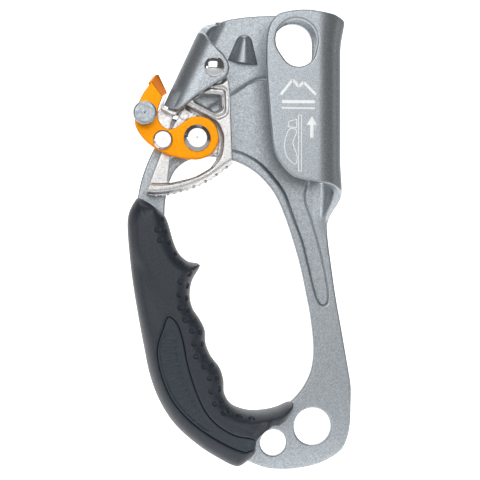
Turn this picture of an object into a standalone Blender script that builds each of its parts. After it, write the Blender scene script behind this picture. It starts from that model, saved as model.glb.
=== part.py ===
"""Handled rope ascender. Metres, +Z up, +X towards the rope, -Y towards the hand side.

The origin lies on the rope channel's axis at the height of the cam's pivot.
Dimensions below are in millimetres and are scaled once, when a piece is finished.
"""
import math
import bpy
import bmesh
from mathutils import Matrix, Vector

MM = 0.001

# driving dimensions
SHEET = 3.6                      # thickness of the frame's sheet
ROPE_R = 7.0                     # inside radius of the rope channel
BACK_IN = ROPE_R                 # front face of the back plate
BACK_OUT = ROPE_R + SHEET
ROPE_MID = ROPE_R + SHEET / 2
SHELL_R = 6.0                    # inside radius of the fold that carries the cam axle
SHELL_MID = SHELL_R + SHEET / 2
SHELL_AXIS_Y = BACK_IN - SHELL_R
SHELL_START = 40.8               # distance of the fold's start line from the origin
SHELL_N = Vector((-0.906, 0.423))
SHELL_D = Vector((-0.423, -0.906))
FLAP_IN = SHELL_AXIS_Y - SHELL_R
FLAP_OUT = FLAP_IN - SHEET
PRESS = 1.2                      # depth of the pressed panel
MOUTH_TOP = 2.2                  # how far the rope channel flares at its upper end
MOUTH_LOW = 0.6                  # and at its lower end

PIVOT = (-42.5, 0.0)             # cam axle
LEVER = (-49.2, -28.8)           # lever pivot
KNOB = (-70.7, -19.4)
STUD = (-63.2, -29.7)
MAIN_HOLE = (0.1, -148.8, 7.85)
SMALL_HOLE = (-16.5, -155.4, 5.5)

CAM_FRONT = -4.6
CAM_BACK = 6.0
CAM_FLOOR = -1.1
STRUT_FACE = 1.0
HUB_FRONT = -2.4
HUB_BACK = 4.4
HUB_R = 6.4
LEVER_FRONT = -3.9
LEVER_BACK = -1.4
GRIP_FRONT = -4.2
GRIP_BACK = 21.0


# colour, roughness and metallic value of each material
LOOKS = {
    "frame_paint": ((0.36, 0.39, 0.42), 0.42, 0.7),
    "grip_rubber": ((0.030, 0.037, 0.046), 0.55, 0.0),
    "inlay_plastic": ((0.035, 0.047, 0.056), 0.45, 0.0),
    "bright_steel": ((0.85, 0.85, 0.86), 0.15, 1.0),
    "shim_plastic": ((0.68, 0.67, 0.63), 0.45, 0.0),
    "spring_steel": ((0.50, 0.50, 0.52), 0.3, 1.0),
    "cast_steel": ((0.75, 0.74, 0.72), 0.4, 0.9),
    "bush_brass": ((0.72, 0.55, 0.28), 0.3, 1.0),
    "orange_aluminium": ((0.93, 0.33, 0.015), 0.33, 0.45),
    "catch_steel": ((0.78, 0.78, 0.77), 0.32, 1.0),
    "grey_aluminium": ((0.42, 0.46, 0.49), 0.36, 1.0),
}


# ---------------------------------------------------------------- scene
def clear_scene():
    for obj in list(bpy.data.objects):
        bpy.data.objects.remove(obj)
    parts = bpy.data.collections.new("rope_ascender")
    bpy.context.scene.collection.children.link(parts)
    return parts


def joint_empty(name, place, parent=None):
    """Empty on a joint's axis, which carries the pieces that turn with it."""
    obj = bpy.data.objects.new(name, None)
    start = parent["axis"] if parent else (0.0, 0.0)
    obj["axis"] = place
    obj.location = ((place[0] - start[0]) * MM, 0, (place[1] - start[1]) * MM)
    obj.parent = parent
    PARTS.objects.link(obj)
    return obj


def look(name):
    """Material of that name, made when it is first asked for."""
    if name in bpy.data.materials:
        return bpy.data.materials[name]
    colour, rough, metallic = LOOKS[name]
    material = bpy.data.materials.new(name)
    material.use_nodes = True
    shader = material.node_tree.nodes["Principled BSDF"]
    shader.inputs["Base Color"].default_value = (*colour, 1)
    shader.inputs["Roughness"].default_value = rough
    shader.inputs["Metallic"].default_value = metallic
    return material


PARTS = clear_scene()
CAM_BODY = joint_empty("cam_pivot", PIVOT)
LEVER_BODY = joint_empty("lever_pivot", LEVER, CAM_BODY)


# ---------------------------------------------------------------- helpers


def spline(points, closed=True, steps=4):
    """Centripetal curve through the points."""
    n = len(points)
    out = []
    last = n if closed else n - 1
    for i in range(last):
        if closed:
            quad = [Vector(points[(i + k) % n]) for k in (-1, 0, 1, 2)]
        else:
            quad = [Vector(points[min(max(i + k, 0), n - 1)]) for k in (-1, 0, 1, 2)]
        p0, p1, p2, p3 = quad
        span = max((p2 - p1).length, 1e-6)
        m1 = (p2 - p0) * (span / max((p2 - p1).length + (p1 - p0).length, 1e-6))
        m2 = (p3 - p1) * (span / max((p3 - p2).length + (p2 - p1).length, 1e-6))
        for k in range(steps):
            t = k / steps
            a = 2 * t ** 3 - 3 * t ** 2 + 1
            b = t ** 3 - 2 * t ** 2 + t
            c = -2 * t ** 3 + 3 * t ** 2
            d = t ** 3 - t ** 2
            out.append(tuple(p1 * a + m1 * b + p2 * c + m2 * d))
    if not closed:
        out.append(tuple(points[-1]))
    return out


def rounded(corners, seg=4):
    """Polygon whose corners (x, z, radius) are turned into arcs."""
    out = []
    n = len(corners)
    for i, (x, z, r) in enumerate(corners):
        p = Vector((x, z))
        a = Vector(corners[i - 1][:2]) - p
        b = Vector(corners[(i + 1) % n][:2]) - p
        if r <= 0:
            out.append((x, z))
            continue
        half = a.angle(b) / 2
        cut = min(r / math.tan(half), 0.48 * a.length, 0.48 * b.length)
        r = cut * math.tan(half)
        centre = p + (a.normalized() + b.normalized()).normalized() * (r / math.sin(half))
        start = p + a.normalized() * cut - centre
        sweep = start.angle_signed(p + b.normalized() * cut - centre)
        for k in range(seg + 1):
            turn = Matrix.Rotation(-sweep * k / seg, 2)
            out.append(tuple(centre + turn @ start))
    return out


def circle(cx, cz, r, n=32, start=0.0):
    return [(cx + r * math.cos(start + 2 * math.pi * k / n),
             cz + r * math.sin(start + 2 * math.pi * k / n)) for k in range(n)]


def flat_mesh(loops, y):
    """Filled outline with holes in the plane y."""
    bm = bmesh.new()
    for loop in loops:
        verts = [bm.verts.new((p[0], y, p[1])) for p in loop]
        for i, v in enumerate(verts):
            bm.edges.new((v, verts[(i + 1) % len(verts)]))
    bmesh.ops.triangle_fill(bm, use_beauty=True, edges=bm.edges[:], normal=(0, -1, 0))
    return bm


def prism(loops, y0, y1):
    bm = flat_mesh(loops, y0)
    geom = bmesh.ops.extrude_face_region(bm, geom=bm.faces[:])
    moved = [e for e in geom["geom"] if isinstance(e, bmesh.types.BMVert)]
    bmesh.ops.translate(bm, verts=moved, vec=(0, y1 - y0, 0))
    bmesh.ops.recalc_face_normals(bm, faces=bm.faces[:])
    return bm


def tapered(loop0, y0, loop1, y1):
    """Solid between two outlines with the same number of points."""
    bm = bmesh.new()
    rings = [[bm.verts.new((p[0], y, p[1])) for p in loop]
             for loop, y in ((loop0, y0), (loop1, y1))]
    n = len(loop0)
    for i in range(n):
        j = (i + 1) % n
        bm.faces.new((rings[0][i], rings[0][j], rings[1][j], rings[1][i]))
    bm.faces.new(rings[0])
    bm.faces.new(rings[1])
    bmesh.ops.triangulate(bm, faces=bm.faces[:])
    bmesh.ops.recalc_face_normals(bm, faces=bm.faces[:])
    return bm


def evaluated(obj):
    """Mesh of the object with its modifiers applied."""
    done = obj.evaluated_get(bpy.context.evaluated_depsgraph_get())
    return bpy.data.meshes.new_from_object(done)


def turned(name, profile, centre, steps=32):
    """Solid turned about the line through centre along Y; profile is (radius, y)."""
    n = len(profile)
    edges = [(i, i + 1) for i in range(n - 1)]
    if profile[0][0] > 0:
        edges.append((n - 1, 0))
    mesh = bpy.data.meshes.new(name)
    mesh.from_pydata([(r, y, 0) for r, y in profile], edges, [])
    mesh.update()
    obj = bpy.data.objects.new(name, mesh)
    PARTS.objects.link(obj)
    screw = obj.modifiers.new("turn", "SCREW")
    screw.axis = "Y"
    screw.steps = steps
    screw.render_steps = steps
    screw.use_merge_vertices = True
    screw.merge_threshold = 0.0001
    obj.data = evaluated(obj)
    obj.modifiers.clear()
    obj.data.transform(Matrix.Translation((centre[0], 0, centre[1])))
    return obj


def wire(name, path, radius):
    """Round wire along a path of points."""
    curve = bpy.data.curves.new(name + "_path", "CURVE")
    curve.dimensions = "3D"
    curve.bevel_depth = radius
    curve.bevel_resolution = 2
    curve.use_fill_caps = True
    spline_points = curve.splines.new("POLY").points
    spline_points.add(len(path) - 1)
    for point, place in zip(spline_points, path):
        point.co = (*place, 1)
    guide = bpy.data.objects.new(name + "_path", curve)
    PARTS.objects.link(guide)
    obj = bpy.data.objects.new(name, evaluated(guide))
    bpy.data.objects.remove(guide)
    PARTS.objects.link(obj)
    return obj


def make(name, bm):
    mesh = bpy.data.meshes.new(name)
    bm.to_mesh(mesh)
    bm.free()
    obj = bpy.data.objects.new(name, mesh)
    PARTS.objects.link(obj)
    return obj


def combine(obj, cutters, operation="DIFFERENCE"):
    """Exact boolean of the object with each solid in turn."""
    for bm in cutters:
        other = make("tool", bm)
        mod = obj.modifiers.new("cut", "BOOLEAN")
        mod.operation = operation
        mod.solver = "EXACT"
        mod.object = other
        mesh = evaluated(obj)
        obj.modifiers.clear()
        old = obj.data
        obj.data = mesh
        bpy.data.meshes.remove(old)
        bpy.data.objects.remove(other)
    return obj


def finish(obj, material, carrier=None):
    """Clean the mesh, scale it to metres and hang it on the joint that carries it."""
    bm = bmesh.new()
    bm.from_mesh(obj.data)
    bmesh.ops.remove_doubles(bm, verts=bm.verts[:], dist=0.002)
    bmesh.ops.dissolve_degenerate(bm, edges=bm.edges[:], dist=0.001)
    bmesh.ops.triangulate(bm, faces=bm.faces[:])
    if carrier:
        x, z = carrier["axis"]
        bmesh.ops.translate(bm, verts=bm.verts[:], vec=(-x, 0, -z))
        obj.parent = carrier
    bmesh.ops.scale(bm, vec=(MM, MM, MM), verts=bm.verts[:])
    bmesh.ops.recalc_face_normals(bm, faces=bm.faces[:])
    bm.to_mesh(obj.data)
    bm.free()
    obj.data.materials.clear()
    obj.data.materials.append(look(material))
    return obj


# ---------------------------------------------------------------- frame
def frame_blank():
    """Outline of the sheet before it is folded: (u, z); the cam side is unrolled separately."""
    return ([(-40.8, 20.2), (-35.4, 21.6), (-27.4, 22.8), (-18.0, 23.5), (-7.0, 23.4),
             (0.0, 22.6), (8.0, 20.1), (13.8, 19.5), (18.9, 20.7), (22.7, 22.0),
             (29.1, 23.3), (34.9, 23.5), (41.4, 22.5), (44.6, 21.2), (47.6, 17.1),
             (48.9, 10.0), (48.6, -4.2), (46.7, -26.9), (45.8, -33.3), (43.4, -38.5),
             (38.8, -43.7), (34.3, -45.6), (28.4, -46.6), (22.9, -47.9), (18.8, -50.0),
             (15.0, -51.4), (12.0, -54.6), (8.6, -58.6), (6.6, -62.2), (6.4, -65.6),
             (6.6, -70.2), (7.8, -79.4), (9.8, -93.4), (12.4, -108.2), (15.3, -124.9),
             (16.4, -132.0), (16.4, -139.0), (15.8, -150.0), (13.1, -157.8), (8.6, -161.6),
             (1.7, -164.7), (-7.0, -166.3), (-13.9, -166.5), (-20.9, -165.5),
             (-33.0, -160.0), (-48.0, -149.5), (-60.0, -135.0), (-66.0, -118.0),
             (-70.5, -92.0), (-73.4, -68.0), (-73.2, -54.0), (-71.4, -45.0),
             (-68.3, -36.6), (-65.0, -30.0)],
            [(-62.9, -26.0), (-61.0, -22.6), to_shell((45.0, 43.0)), to_shell((41.6, 42.2)),
             to_shell((40.0, 42.0)), to_shell((40.0, 41.2))])


def shell_blank():
    """Flap of the cam side in fold coordinates (distance along N unrolled, along D)."""
    def flat(x, z):
        p = Vector((x, z))
        return (2 * SHELL_START + math.pi * SHELL_MID - p.dot(SHELL_N), p.dot(SHELL_D))

    def bend(angle, s):
        return (SHELL_START + math.radians(angle) * SHELL_MID, s)

    return [bend(0, 41.0), bend(60, 41.2), bend(90, 41.2), bend(135, 41.0), bend(158, 39.6),
            flat(-50.1, -12.1), flat(-40.6, -5.8), flat(-38.0, -4.2), flat(-36.6, -2.0),
            flat(-36.4, 0.0), flat(-36.9, 2.2), flat(-38.3, 4.5), bend(178, 10.4),
            bend(154, 8.9), bend(135, 7.2), bend(112, 6.8), bend(90, 6.9),
            bend(60, 2.0), bend(28, -1.0)]


def to_shell(p):
    """World (x, z) of a point given in fold coordinates."""
    return tuple(SHELL_N * p[0] + SHELL_D * p[1])


def fold_point(co):
    """Carry a point of the flat sheet (x, thickness from the inside, z) to its folded place."""
    x, t, z = co
    tt = t - SHEET / 2
    w = x * SHELL_N.x + z * SHELL_N.y
    s = x * SHELL_D.x + z * SHELL_D.y
    if w > SHELL_START and x < -30 and s < 41.7:
        a = (w - SHELL_START) / SHELL_MID
        r = SHELL_MID + tt
        if a <= math.pi:
            c = SHELL_START + r * math.sin(a)
            y = SHELL_AXIS_Y + r * math.cos(a)
        else:
            c = SHELL_START - (a - math.pi) * SHELL_MID
            y = SHELL_AXIS_Y - r
        p = SHELL_N * c + SHELL_D * s
        return Vector((p.x, y, p.y))
    if x <= 0:
        return Vector((x, BACK_IN + t, z))
    keep = ease((z + 68.0) / 8.0)
    if keep < 0.002:
        return Vector((x, BACK_IN + t, z))
    rho = ROPE_MID / keep
    a = x / rho
    if a <= math.pi:
        out = (rho + tt) * math.sin(a)
        return Vector((out * mouth(z), ROPE_MID - rho + (rho + tt) * math.cos(a), z))
    return Vector((math.pi * rho - x, -(ROPE_MID + tt), z))


def ease(t):
    t = min(max(t, 0.0), 1.0)
    return t * t * (3 - 2 * t)


def mouth(z):
    """How much wider than round the rope channel is at a height."""
    flare = MOUTH_TOP * ease((z - 7) / 17) + MOUTH_LOW * ease((-38 - z) / 12) * ease((z + 60) / 8)
    return 1 + flare / (ROPE_MID + SHEET / 2)


def bisect(bm, point, normal):
    bmesh.ops.bisect_plane(bm, geom=bm.verts[:] + bm.edges[:] + bm.faces[:], dist=1e-4,
                           plane_co=point, plane_no=normal)


def sheet(outline, holes, bends):
    bm = prism([outline] + holes, 0.0, SHEET)
    for point, normal in bends:
        bisect(bm, point, normal)
    for v in bm.verts:
        v.co = fold_point(v.co)
    bmesh.ops.triangulate(bm, faces=bm.faces[:])
    bmesh.ops.recalc_face_normals(bm, faces=bm.faces[:])
    return bm


def hand_opening():
    return spline([(-33.2, -37.4), (-26.9, -40.2), (-21.6, -44.2), (-16.2, -50.6),
                   (-12.2, -58.7), (-8.2, -70.2), (-5.0, -81.4), (-2.6, -92.7),
                   (-0.9, -101.5), (0.2, -110.0), (0.6, -117.4), (-0.2, -124.3),
                   (-1.9, -129.0), (-5.0, -134.0), (-9.5, -138.5), (-17.0, -143.0),
                   (-28.0, -145.0), (-39.0, -141.0), (-48.5, -131.0), (-55.0, -115.0),
                   (-59.0, -95.0), (-61.5, -75.0), (-61.9, -57.0), (-60.4, -48.0),
                   (-58.2, -42.6), (-55.4, -39.4), (-51.0, -37.0), (-42.0, -35.8)], steps=2)


def egg(x, z, r, x2, z2, r2, n=9):
    """Outline round two circles: the upper one (x, z, r) and a smaller one below it."""
    d = Vector((x2 - x, z2 - z))
    axis = math.atan2(d.y, d.x)
    spread = math.acos((r - r2) / d.length)
    wide = [(x + r * math.cos(a), z + r * math.sin(a))
            for a in (axis + spread + (2 * math.pi - 2 * spread) * k / (2 * n)
                      for k in range(2 * n + 1))]
    low = [(x2 + r2 * math.cos(a), z2 + r2 * math.sin(a))
           for a in (axis - spread + 2 * spread * k / n for k in range(n + 1))]
    return wide + low


def upper_hole_front():
    """Hole in the rope flap, unrolled."""
    length = math.pi * ROPE_MID
    return [(length - x, z) for x, z in egg(-8.9, 11.1, 8.7, -8.2, 7.4, 7.2)]


def upper_hole_back():
    return egg(-8.2, 11.8, 8.2, -7.5, 7.0, 7.5)


def pressed_panel(grow=0.0):
    pts = [(-43.0, -15.7), (-38.4, -13.2), (-34.4, -10.6), (-24.6, -4.4), (-18.8, -3.6),
           (-8.0, -4.6), (-4.0, -9.0), (-3.0, -25.0), (-2.6, -46.0), (-3.8, -52.6),
           (-0.9, -62.6), (2.3, -73.5), (4.7, -84.3), (6.1, -93.0), (5.6, -97.0),
           (3.4, -97.2), (1.3, -92.3), (-1.3, -81.5), (-4.1, -70.2), (-7.3, -61.5),
           (-10.9, -51.5), (-14.8, -45.5), (-20.8, -38.9), (-26.8, -34.9), (-33.2, -32.6),
           (-40.0, -31.5), (-44.5, -28.0), (-45.8, -21.0)]
    out = []
    n = len(pts)
    for i, p in enumerate(pts):
        a = Vector(pts[i - 1])
        b = Vector(pts[(i + 1) % n])
        t = (b - a).normalized()
        out.append((p[0] - t.y * grow, p[1] + t.x * grow))
    return out


def build_frame():
    main, lower = frame_blank()
    flap = [to_shell(p) for p in shell_blank()]
    outline = spline(main, closed=False, steps=2) + lower + spline(flap, closed=False, steps=3)
    holes = [hand_opening(), upper_hole_front(), upper_hole_back(),
             circle(MAIN_HOLE[0], MAIN_HOLE[1], MAIN_HOLE[2], 32),
             circle(SMALL_HOLE[0], SMALL_HOLE[1], SMALL_HOLE[2], 24)]
    pin = PIVOT[0] * SHELL_N.x + PIVOT[1] * SHELL_N.y
    along = PIVOT[0] * SHELL_D.x + PIVOT[1] * SHELL_D.y
    flap_pin = to_shell((2 * SHELL_START + math.pi * SHELL_MID - pin, along))
    holes += [circle(*flap_pin, 3.45, 24), circle(*PIVOT, 3.45, 24)]
    rope = [(Vector((math.pi * ROPE_MID * k / 12, 0, 0)), Vector((1, 0, 0)))
            for k in range(13)]
    normal = Vector((SHELL_N.x, 0, SHELL_N.y))
    shell = [(normal * (SHELL_START + math.pi * SHELL_MID * k / 12), normal)
             for k in range(13)]
    level = [(Vector((0, 0, z)), Vector((0, 0, 1))) for z in (-60, -62, -64, -66, -68)]
    obj = make("frame_plate", sheet(outline, holes, rope + shell + level))
    panel = pressed_panel()
    wide = pressed_panel(-1.0)
    combine(obj, [tapered(wide, BACK_IN - 0.3, panel, BACK_IN + PRESS)])
    combine(obj, [tapered(wide, BACK_OUT - 0.5, panel, BACK_OUT + PRESS)], "UNION")
    combine(obj, [nose(0.0)], "UNION")
    combine(obj, [nose(-1.0), lever_sweep(), prism([upper_hole_back()], 6, 12)])
    finish(obj, "frame_paint")


def nose(step):
    """Wedge stamped out of the back plate; its lower edge stops the closed cam."""
    foot = rounded([(-36.2, 4.2, 1.5), (-23.2, 2.0, 1.5), (-24.2, 12.4, 3), (-28.2, 15.4, 2),
                    (-32.0, 14.0, 2)], 3)
    head = rounded([(-35.0, 4.4, 1.5), (-24.2, 2.5, 1.5), (-25.2, 10.6, 3), (-28.4, 13.0, 2),
                    (-31.0, 12.0, 2)], 3)
    if step == 0:
        bm = tapered(foot, BACK_IN + 0.5, head, 2.4)
    else:
        inner = [(x * 0.6 - 29.4 * 0.4, z * 0.6 + 8.0 * 0.4) for x, z in foot]
        small = [(x * 0.5 - 29.4 * 0.5, z * 0.5 + 8.0 * 0.5) for x, z in foot]
        bm = tapered(inner, BACK_OUT + 0.5, small, 5.4)
        return bm
    for v in bm.verts:
        if v.co.y < 3:
            v.co.y += max(v.co.z - 4.0, 0.0) * 0.42
    return bm


def lever_sweep():
    """Room under the tip of the flap for the lever's bent end as the cam turns."""
    far = [(PIVOT[0] + 40 * math.cos(a), PIVOT[1] + 40 * math.sin(a))
           for a in [math.radians(d) for d in (180, 195, 210, 222, 232)]]
    near = [(PIVOT[0] + 20.6 * math.cos(a), PIVOT[1] + 20.6 * math.sin(a))
            for a in [math.radians(d) for d in (232, 225, 218, 211, 204, 197, 190, 180)]]
    return prism([far + near], -4.6, BACK_IN - 0.02)


# ---------------------------------------------------------------- cam and its axle
def cam_outline():
    arc = spline([(-34.6, -39.5), (-37.6, -41.5), (-43.8, -45.9), (-51.3, -49.3),
                  (-60.1, -51.7), (-66.4, -52.4), (-69.2, -51.9), (-69.8, -50.6)],
                 closed=False, steps=3)
    hub = [(PIVOT[0] + HUB_R * math.cos(math.radians(d)),
            PIVOT[1] + HUB_R * math.sin(math.radians(d))) for d in range(205, -31, -15)]
    return ([(-35.2, -22.4)] + arc + [(-63.7, -34.7), (-59.1, -24.2), (-54.9, -16.9),
            (-50.6, -8.4)] + hub + [(-36.2, -5.4), (-35.9, -8.9), (-35.5, -15.2)])


def cam_pocket():
    wall = spline([(-59.0, -11.5), (-52.4, -15.5), (-46.1, -19.2), (-41.2, -22.6),
                   (-39.0, -26.9), (-38.7, -30.0), (-39.6, -35.5), (-41.8, -39.6),
                   (-44.4, -41.9), (-50.3, -45.2), (-60.8, -47.9), (-70.5, -48.2)],
                  closed=False, steps=3)
    return wall + [(-80, -48.2), (-80, -11.5)]


def cam_strut():
    return rounded([(-80, -14, 0), (-60.4, -14, 0), (-57.2, -18.5, 3), (-59.4, -24, 4),
                    (-58.6, -36.0, 2), (-46, -37.5, 1), (-45.8, -42.4, 1), (-50.3, -45.1, 9),
                    (-60.8, -47.8, 9), (-80, -48.1, 0)], 3)


def cam_window_low():
    return rounded([(-59.9, -37.0, 1.5), (-56.0, -35.6, 2), (-49.2, -37.6, 7),
                    (-43.6, -36.0, 2), (-40.9, -34.6, 0.8), (-40.6, -37.0, 2),
                    (-43.6, -41.0, 6), (-50.5, -44.9, 15), (-61.0, -47.2, 1)], 3)


def cam_window_up():
    return rounded([(-46.8, -10.6, 1), (-39.2, -11.0, 1), (-39.0, -16.6, 1.2),
                    (-41.8, -18.0, 1.2), (-50.3, -13.4, 0.6)], 3)


def disc(x, z, r, y0, y1, n=32):
    return prism([circle(x, z, r, n)], y0, y1)


def teeth():
    """Short spikes in two staggered rows on the cam's rope face."""
    arc = spline([(-34.6, -39.5), (-37.6, -41.5), (-43.8, -45.9), (-51.3, -49.3),
                  (-60.1, -51.7), (-66.4, -52.4)], closed=False, steps=12)
    bm = bmesh.new()
    gone = 0.0
    row = 0
    for a, b in zip(arc, arc[1:]):
        a = Vector(a)
        b = Vector(b)
        gone += (b - a).length
        if gone < 2.6:
            continue
        gone = 0.0
        row += 1
        t = (b - a).normalized()
        out = Vector((t.y, -t.x))
        if out.y > 0:
            out = -out
        for y in ((-2.6, 3.6) if row % 2 else (0.5,)):
            base = [a + t * 0.75 * math.cos(k * math.pi / 3 + 0.2) - out * 0.9 for k in range(6)]
            ring = [bm.verts.new((p.x, y + 0.75 * math.sin(k * math.pi / 3 + 0.2), p.y))
                    for k, p in enumerate(base)]
            p = a + out * 0.9
            top = bm.verts.new((p.x, y, p.y))
            for k in range(6):
                bm.faces.new((ring[k], ring[(k + 1) % 6], top))
            bm.faces.new(ring)
    bmesh.ops.recalc_face_normals(bm, faces=bm.faces[:])
    return bm


def build_cam():
    obj = make("cam", prism([cam_outline()], CAM_FRONT, CAM_BACK))
    combine(obj, [prism([cam_pocket()], CAM_FRONT - 1, CAM_FLOOR),
                  prism([cam_strut()], CAM_FRONT - 2, STRUT_FACE),
                  prism([cam_window_low()], -8, 8), prism([cam_window_up()], -8, 8),
                  disc(*PIVOT, 7.2, CAM_FRONT - 1, HUB_FRONT),
                  disc(*PIVOT, 7.2, HUB_BACK, CAM_BACK + 1),
                  disc(*PIVOT, 4.1, -8, 8),
                  disc(*LEVER, 3.05, -8, 8, 24),
                  disc(*LEVER, 6.6, CAM_FLOOR - 1, 0.6),
                  disc(*LEVER, 4.8, 4.7, CAM_BACK + 1, 24),
                  prism([rounded([(-43.6, -2, 0), (-41.6, -2, 0), (-41.6, -9.4, 0.9),
                                  (-43.6, -9.4, 0.9)], 3)], HUB_BACK, CAM_BACK + 1),
                  prism([rounded([(-50.2, -30, 0), (-50.2, -36, 0.6), (-48.2, -36, 0.6),
                                  (-48.2, -30, 0)], 3)], CAM_FLOOR - 1, 0.6)])
    combine(obj, [teeth()], "UNION")
    finish(obj, "cast_steel", CAM_BODY)


def build_axles():
    y = FLAP_OUT
    head = [(0, y - 2.5), (1.6, y - 2.3), (3.0, y - 1.7), (3.9, y - 0.8), (4.1, y - 0.02)]
    tail = [(2.95, y - 0.02), (2.95, BACK_OUT + 1.8), (2.4, BACK_OUT + 2.2),
            (0, BACK_OUT + 2.2)]
    finish(turned("cam_axle", head + tail, PIVOT), "bright_steel")
    ring("axle_washer", PIVOT, 3.0, 5.6, BACK_OUT + 0.05, BACK_OUT + 1.2, "bright_steel")
    ring("hub_shim_front", PIVOT, 3.1, 4.1, FLAP_IN + 0.4, HUB_FRONT - 0.15, "shim_plastic")
    ring("hub_shim_rear", PIVOT, 3.1, 4.1, HUB_BACK + 0.15, BACK_IN - 0.2, "shim_plastic")
    ring("cam_bush", PIVOT, 3.1, 4.05, HUB_FRONT + 0.05, HUB_BACK - 0.05, "bush_brass",
         CAM_BODY)
    rivet = [(0, -6.2), (4.1, -6.2), (5.5, -5.2), (5.5, -4.0), (2.95, -4.0), (2.95, 4.8),
             (4.5, 4.8), (4.5, 5.6), (4.1, 5.9), (0, 5.9)]
    finish(turned("lever_rivet", rivet, LEVER), "bright_steel", CAM_BODY)


def ring(name, centre, inner, outer, y0, y1, material, carrier=None):
    """Washer or bush with chamfered outer edges."""
    c = min(0.25, (outer - inner) / 4)
    profile = [(inner, y0), (outer - c, y0), (outer, y0 + c), (outer, y1 - c),
               (outer - c, y1), (inner, y1)]
    finish(turned(name, profile, centre), material, carrier)


def coil(centre, r, y0, pitch, a0, turns, steps=22):
    out = []
    n = int(steps * turns)
    for k in range(n + 1):
        a = a0 + 2 * math.pi * turns * k / n
        out.append((centre[0] + r * math.cos(a), y0 + pitch * turns * k / n,
                    centre[1] + r * math.sin(a)))
    return out


def build_springs():
    ring_path = coil(PIVOT, 4.6, 4.85, 0.7, math.radians(-90), 1.53)
    path = [(-42.5, 4.85, -8.6), (-42.5, 4.85, -5.6)] + ring_path
    path += [(-42.9, 5.92, 6.0), (-42.6, 5.92, 10.5)]
    finish(wire("cam_spring", path, 0.34), "spring_steel")
    ring_path = coil(LEVER, 5.3, -0.15, 0.0, math.radians(-100), 0.72)
    path = [(-49.2, -0.15, -35.2)] + ring_path
    finish(wire("lever_spring", path, 0.4), "spring_steel", CAM_BODY)


# ---------------------------------------------------------------- lever and what it carries
def lever_outline():
    return spline([(-67.6, -5.6), (-71.0, -10.4), (-73.4, -15.4), (-74.6, -20.4),
                   (-74.2, -24.2), (-71.9, -28.1), (-68.6, -31.4), (-64.8, -33.9),
                   (-60.3, -35.9), (-55.9, -37.0), (-51.5, -37.5), (-47.8, -37.3),
                   (-43.8, -35.6), (-41.2, -32.6), (-40.2, -28.6), (-41.3, -24.2),
                   (-43.9, -21.2), (-47.8, -19.9), (-51.5, -20.3), (-54.4, -22.0),
                   (-56.7, -23.8), (-58.8, -24.9), (-61.0, -25.1), (-63.2, -24.0),
                   (-64.8, -21.6), (-65.3, -19.0), (-64.6, -15.6), (-62.7, -11.0)],
                  closed=True, steps=2)


def build_lever():
    obj = make("lever", prism([lever_outline()], LEVER_FRONT, LEVER_BACK))
    flange = tapered([(-67.9, -5.9), (-63.0, -10.9), (-61.2, -10.0), (-64.6, -2.6)],
                     LEVER_FRONT + 0.9,
                     [(-66.8, -4.2), (-62.6, -10.6), (-61.1, -9.6), (-64.4, -1.9)], 5.4)
    nib = tapered([(-67.9, -5.9), (-63.0, -10.9), (-62.2, -10.4), (-66.4, -4.4)], LEVER_FRONT,
                  [(-67.9, -5.9), (-63.0, -10.9), (-61.2, -10.0), (-64.6, -2.6)],
                  LEVER_FRONT + 0.95)
    combine(obj, [flange, nib], "UNION")
    combine(obj, [disc(*LEVER, 4.0, -8, 8), disc(*KNOB, 2.05, -8, 8, 20),
                  disc(*STUD, 1.65, -8, 8, 16)])
    finish(obj, "orange_aluminium", LEVER_BODY)
    ring("lever_bush", LEVER, 3.05, 3.9, LEVER_FRONT - 0.02, LEVER_BACK + 0.1, "bush_brass",
         LEVER_BODY)


def build_catch():
    leaf = spline([(-62.9, -15.1), (-65.0, -17.8), (-65.9, -20.8), (-66.4, -25.0),
                   (-65.6, -29.6), (-63.4, -31.9), (-60.9, -30.6), (-60.4, -26.0),
                   (-59.6, -22.4), (-58.6, -18.95), (-61.0, -17.9), (-62.6, -16.3)], steps=2)
    obj = make("catch_plate", prism([leaf], LEVER_BACK + 0.15, 0.1))
    wall = rounded([(-61.9, -11.4, 0.2), (-63.3, -13.4, 1.5), (-63.9, -16.4, 1.2),
                    (-60.6, -18.3, 0.6), (-57.6, -19.2, 0.2), (-57.5, -18.5, 0.2),
                    (-60.5, -17.5, 0.6), (-62.9, -16.0, 0.6), (-62.6, -14.0, 1.0),
                    (-61.6, -12.0, 0.2)], 3)
    lip = [to_shell(p) for p in ((50.8, 39.6), (50.8, 40.9), (50.3, 41.7), (47.0, 42.0),
                                 (44.5, 41.9), (44.4, 42.6), (47.0, 42.8), (50.4, 42.6),
                                 (51.5, 41.4), (51.6, 39.5))]
    combine(obj, [prism([wall], -4.5, -0.2), prism([lip], -7.4, -2.0)], "UNION")
    combine(obj, [disc(*STUD, 1.65, -8, 8, 16)])
    finish(obj, "catch_steel", LEVER_BODY)


def build_lever_parts():
    y = LEVER_FRONT - 0.05
    stud = [(0, -6.4), (3.3, -6.4), (4.0, -5.6), (4.0, y), (1.6, y), (1.6, 0.15),
            (2.4, 0.15), (2.2, 0.75), (0, 0.75)]
    finish(turned("catch_stud", stud, STUD, 28), "bright_steel", LEVER_BODY)
    knob = [(0, -13.6), (0.5, -14.0), (3.9, -14.2), (4.7, -13.6), (4.7, -12.2), (4.2, -11.6),
            (4.3, y), (2.0, y), (2.0, -1.1), (0, -1.1)]
    finish(turned("thumb_knob", knob, KNOB), "grey_aluminium", LEVER_BODY)
    ring("knob_washer", KNOB, 2.05, 3.6, LEVER_BACK + 0.05, -0.4, "bright_steel", LEVER_BODY)


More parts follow.
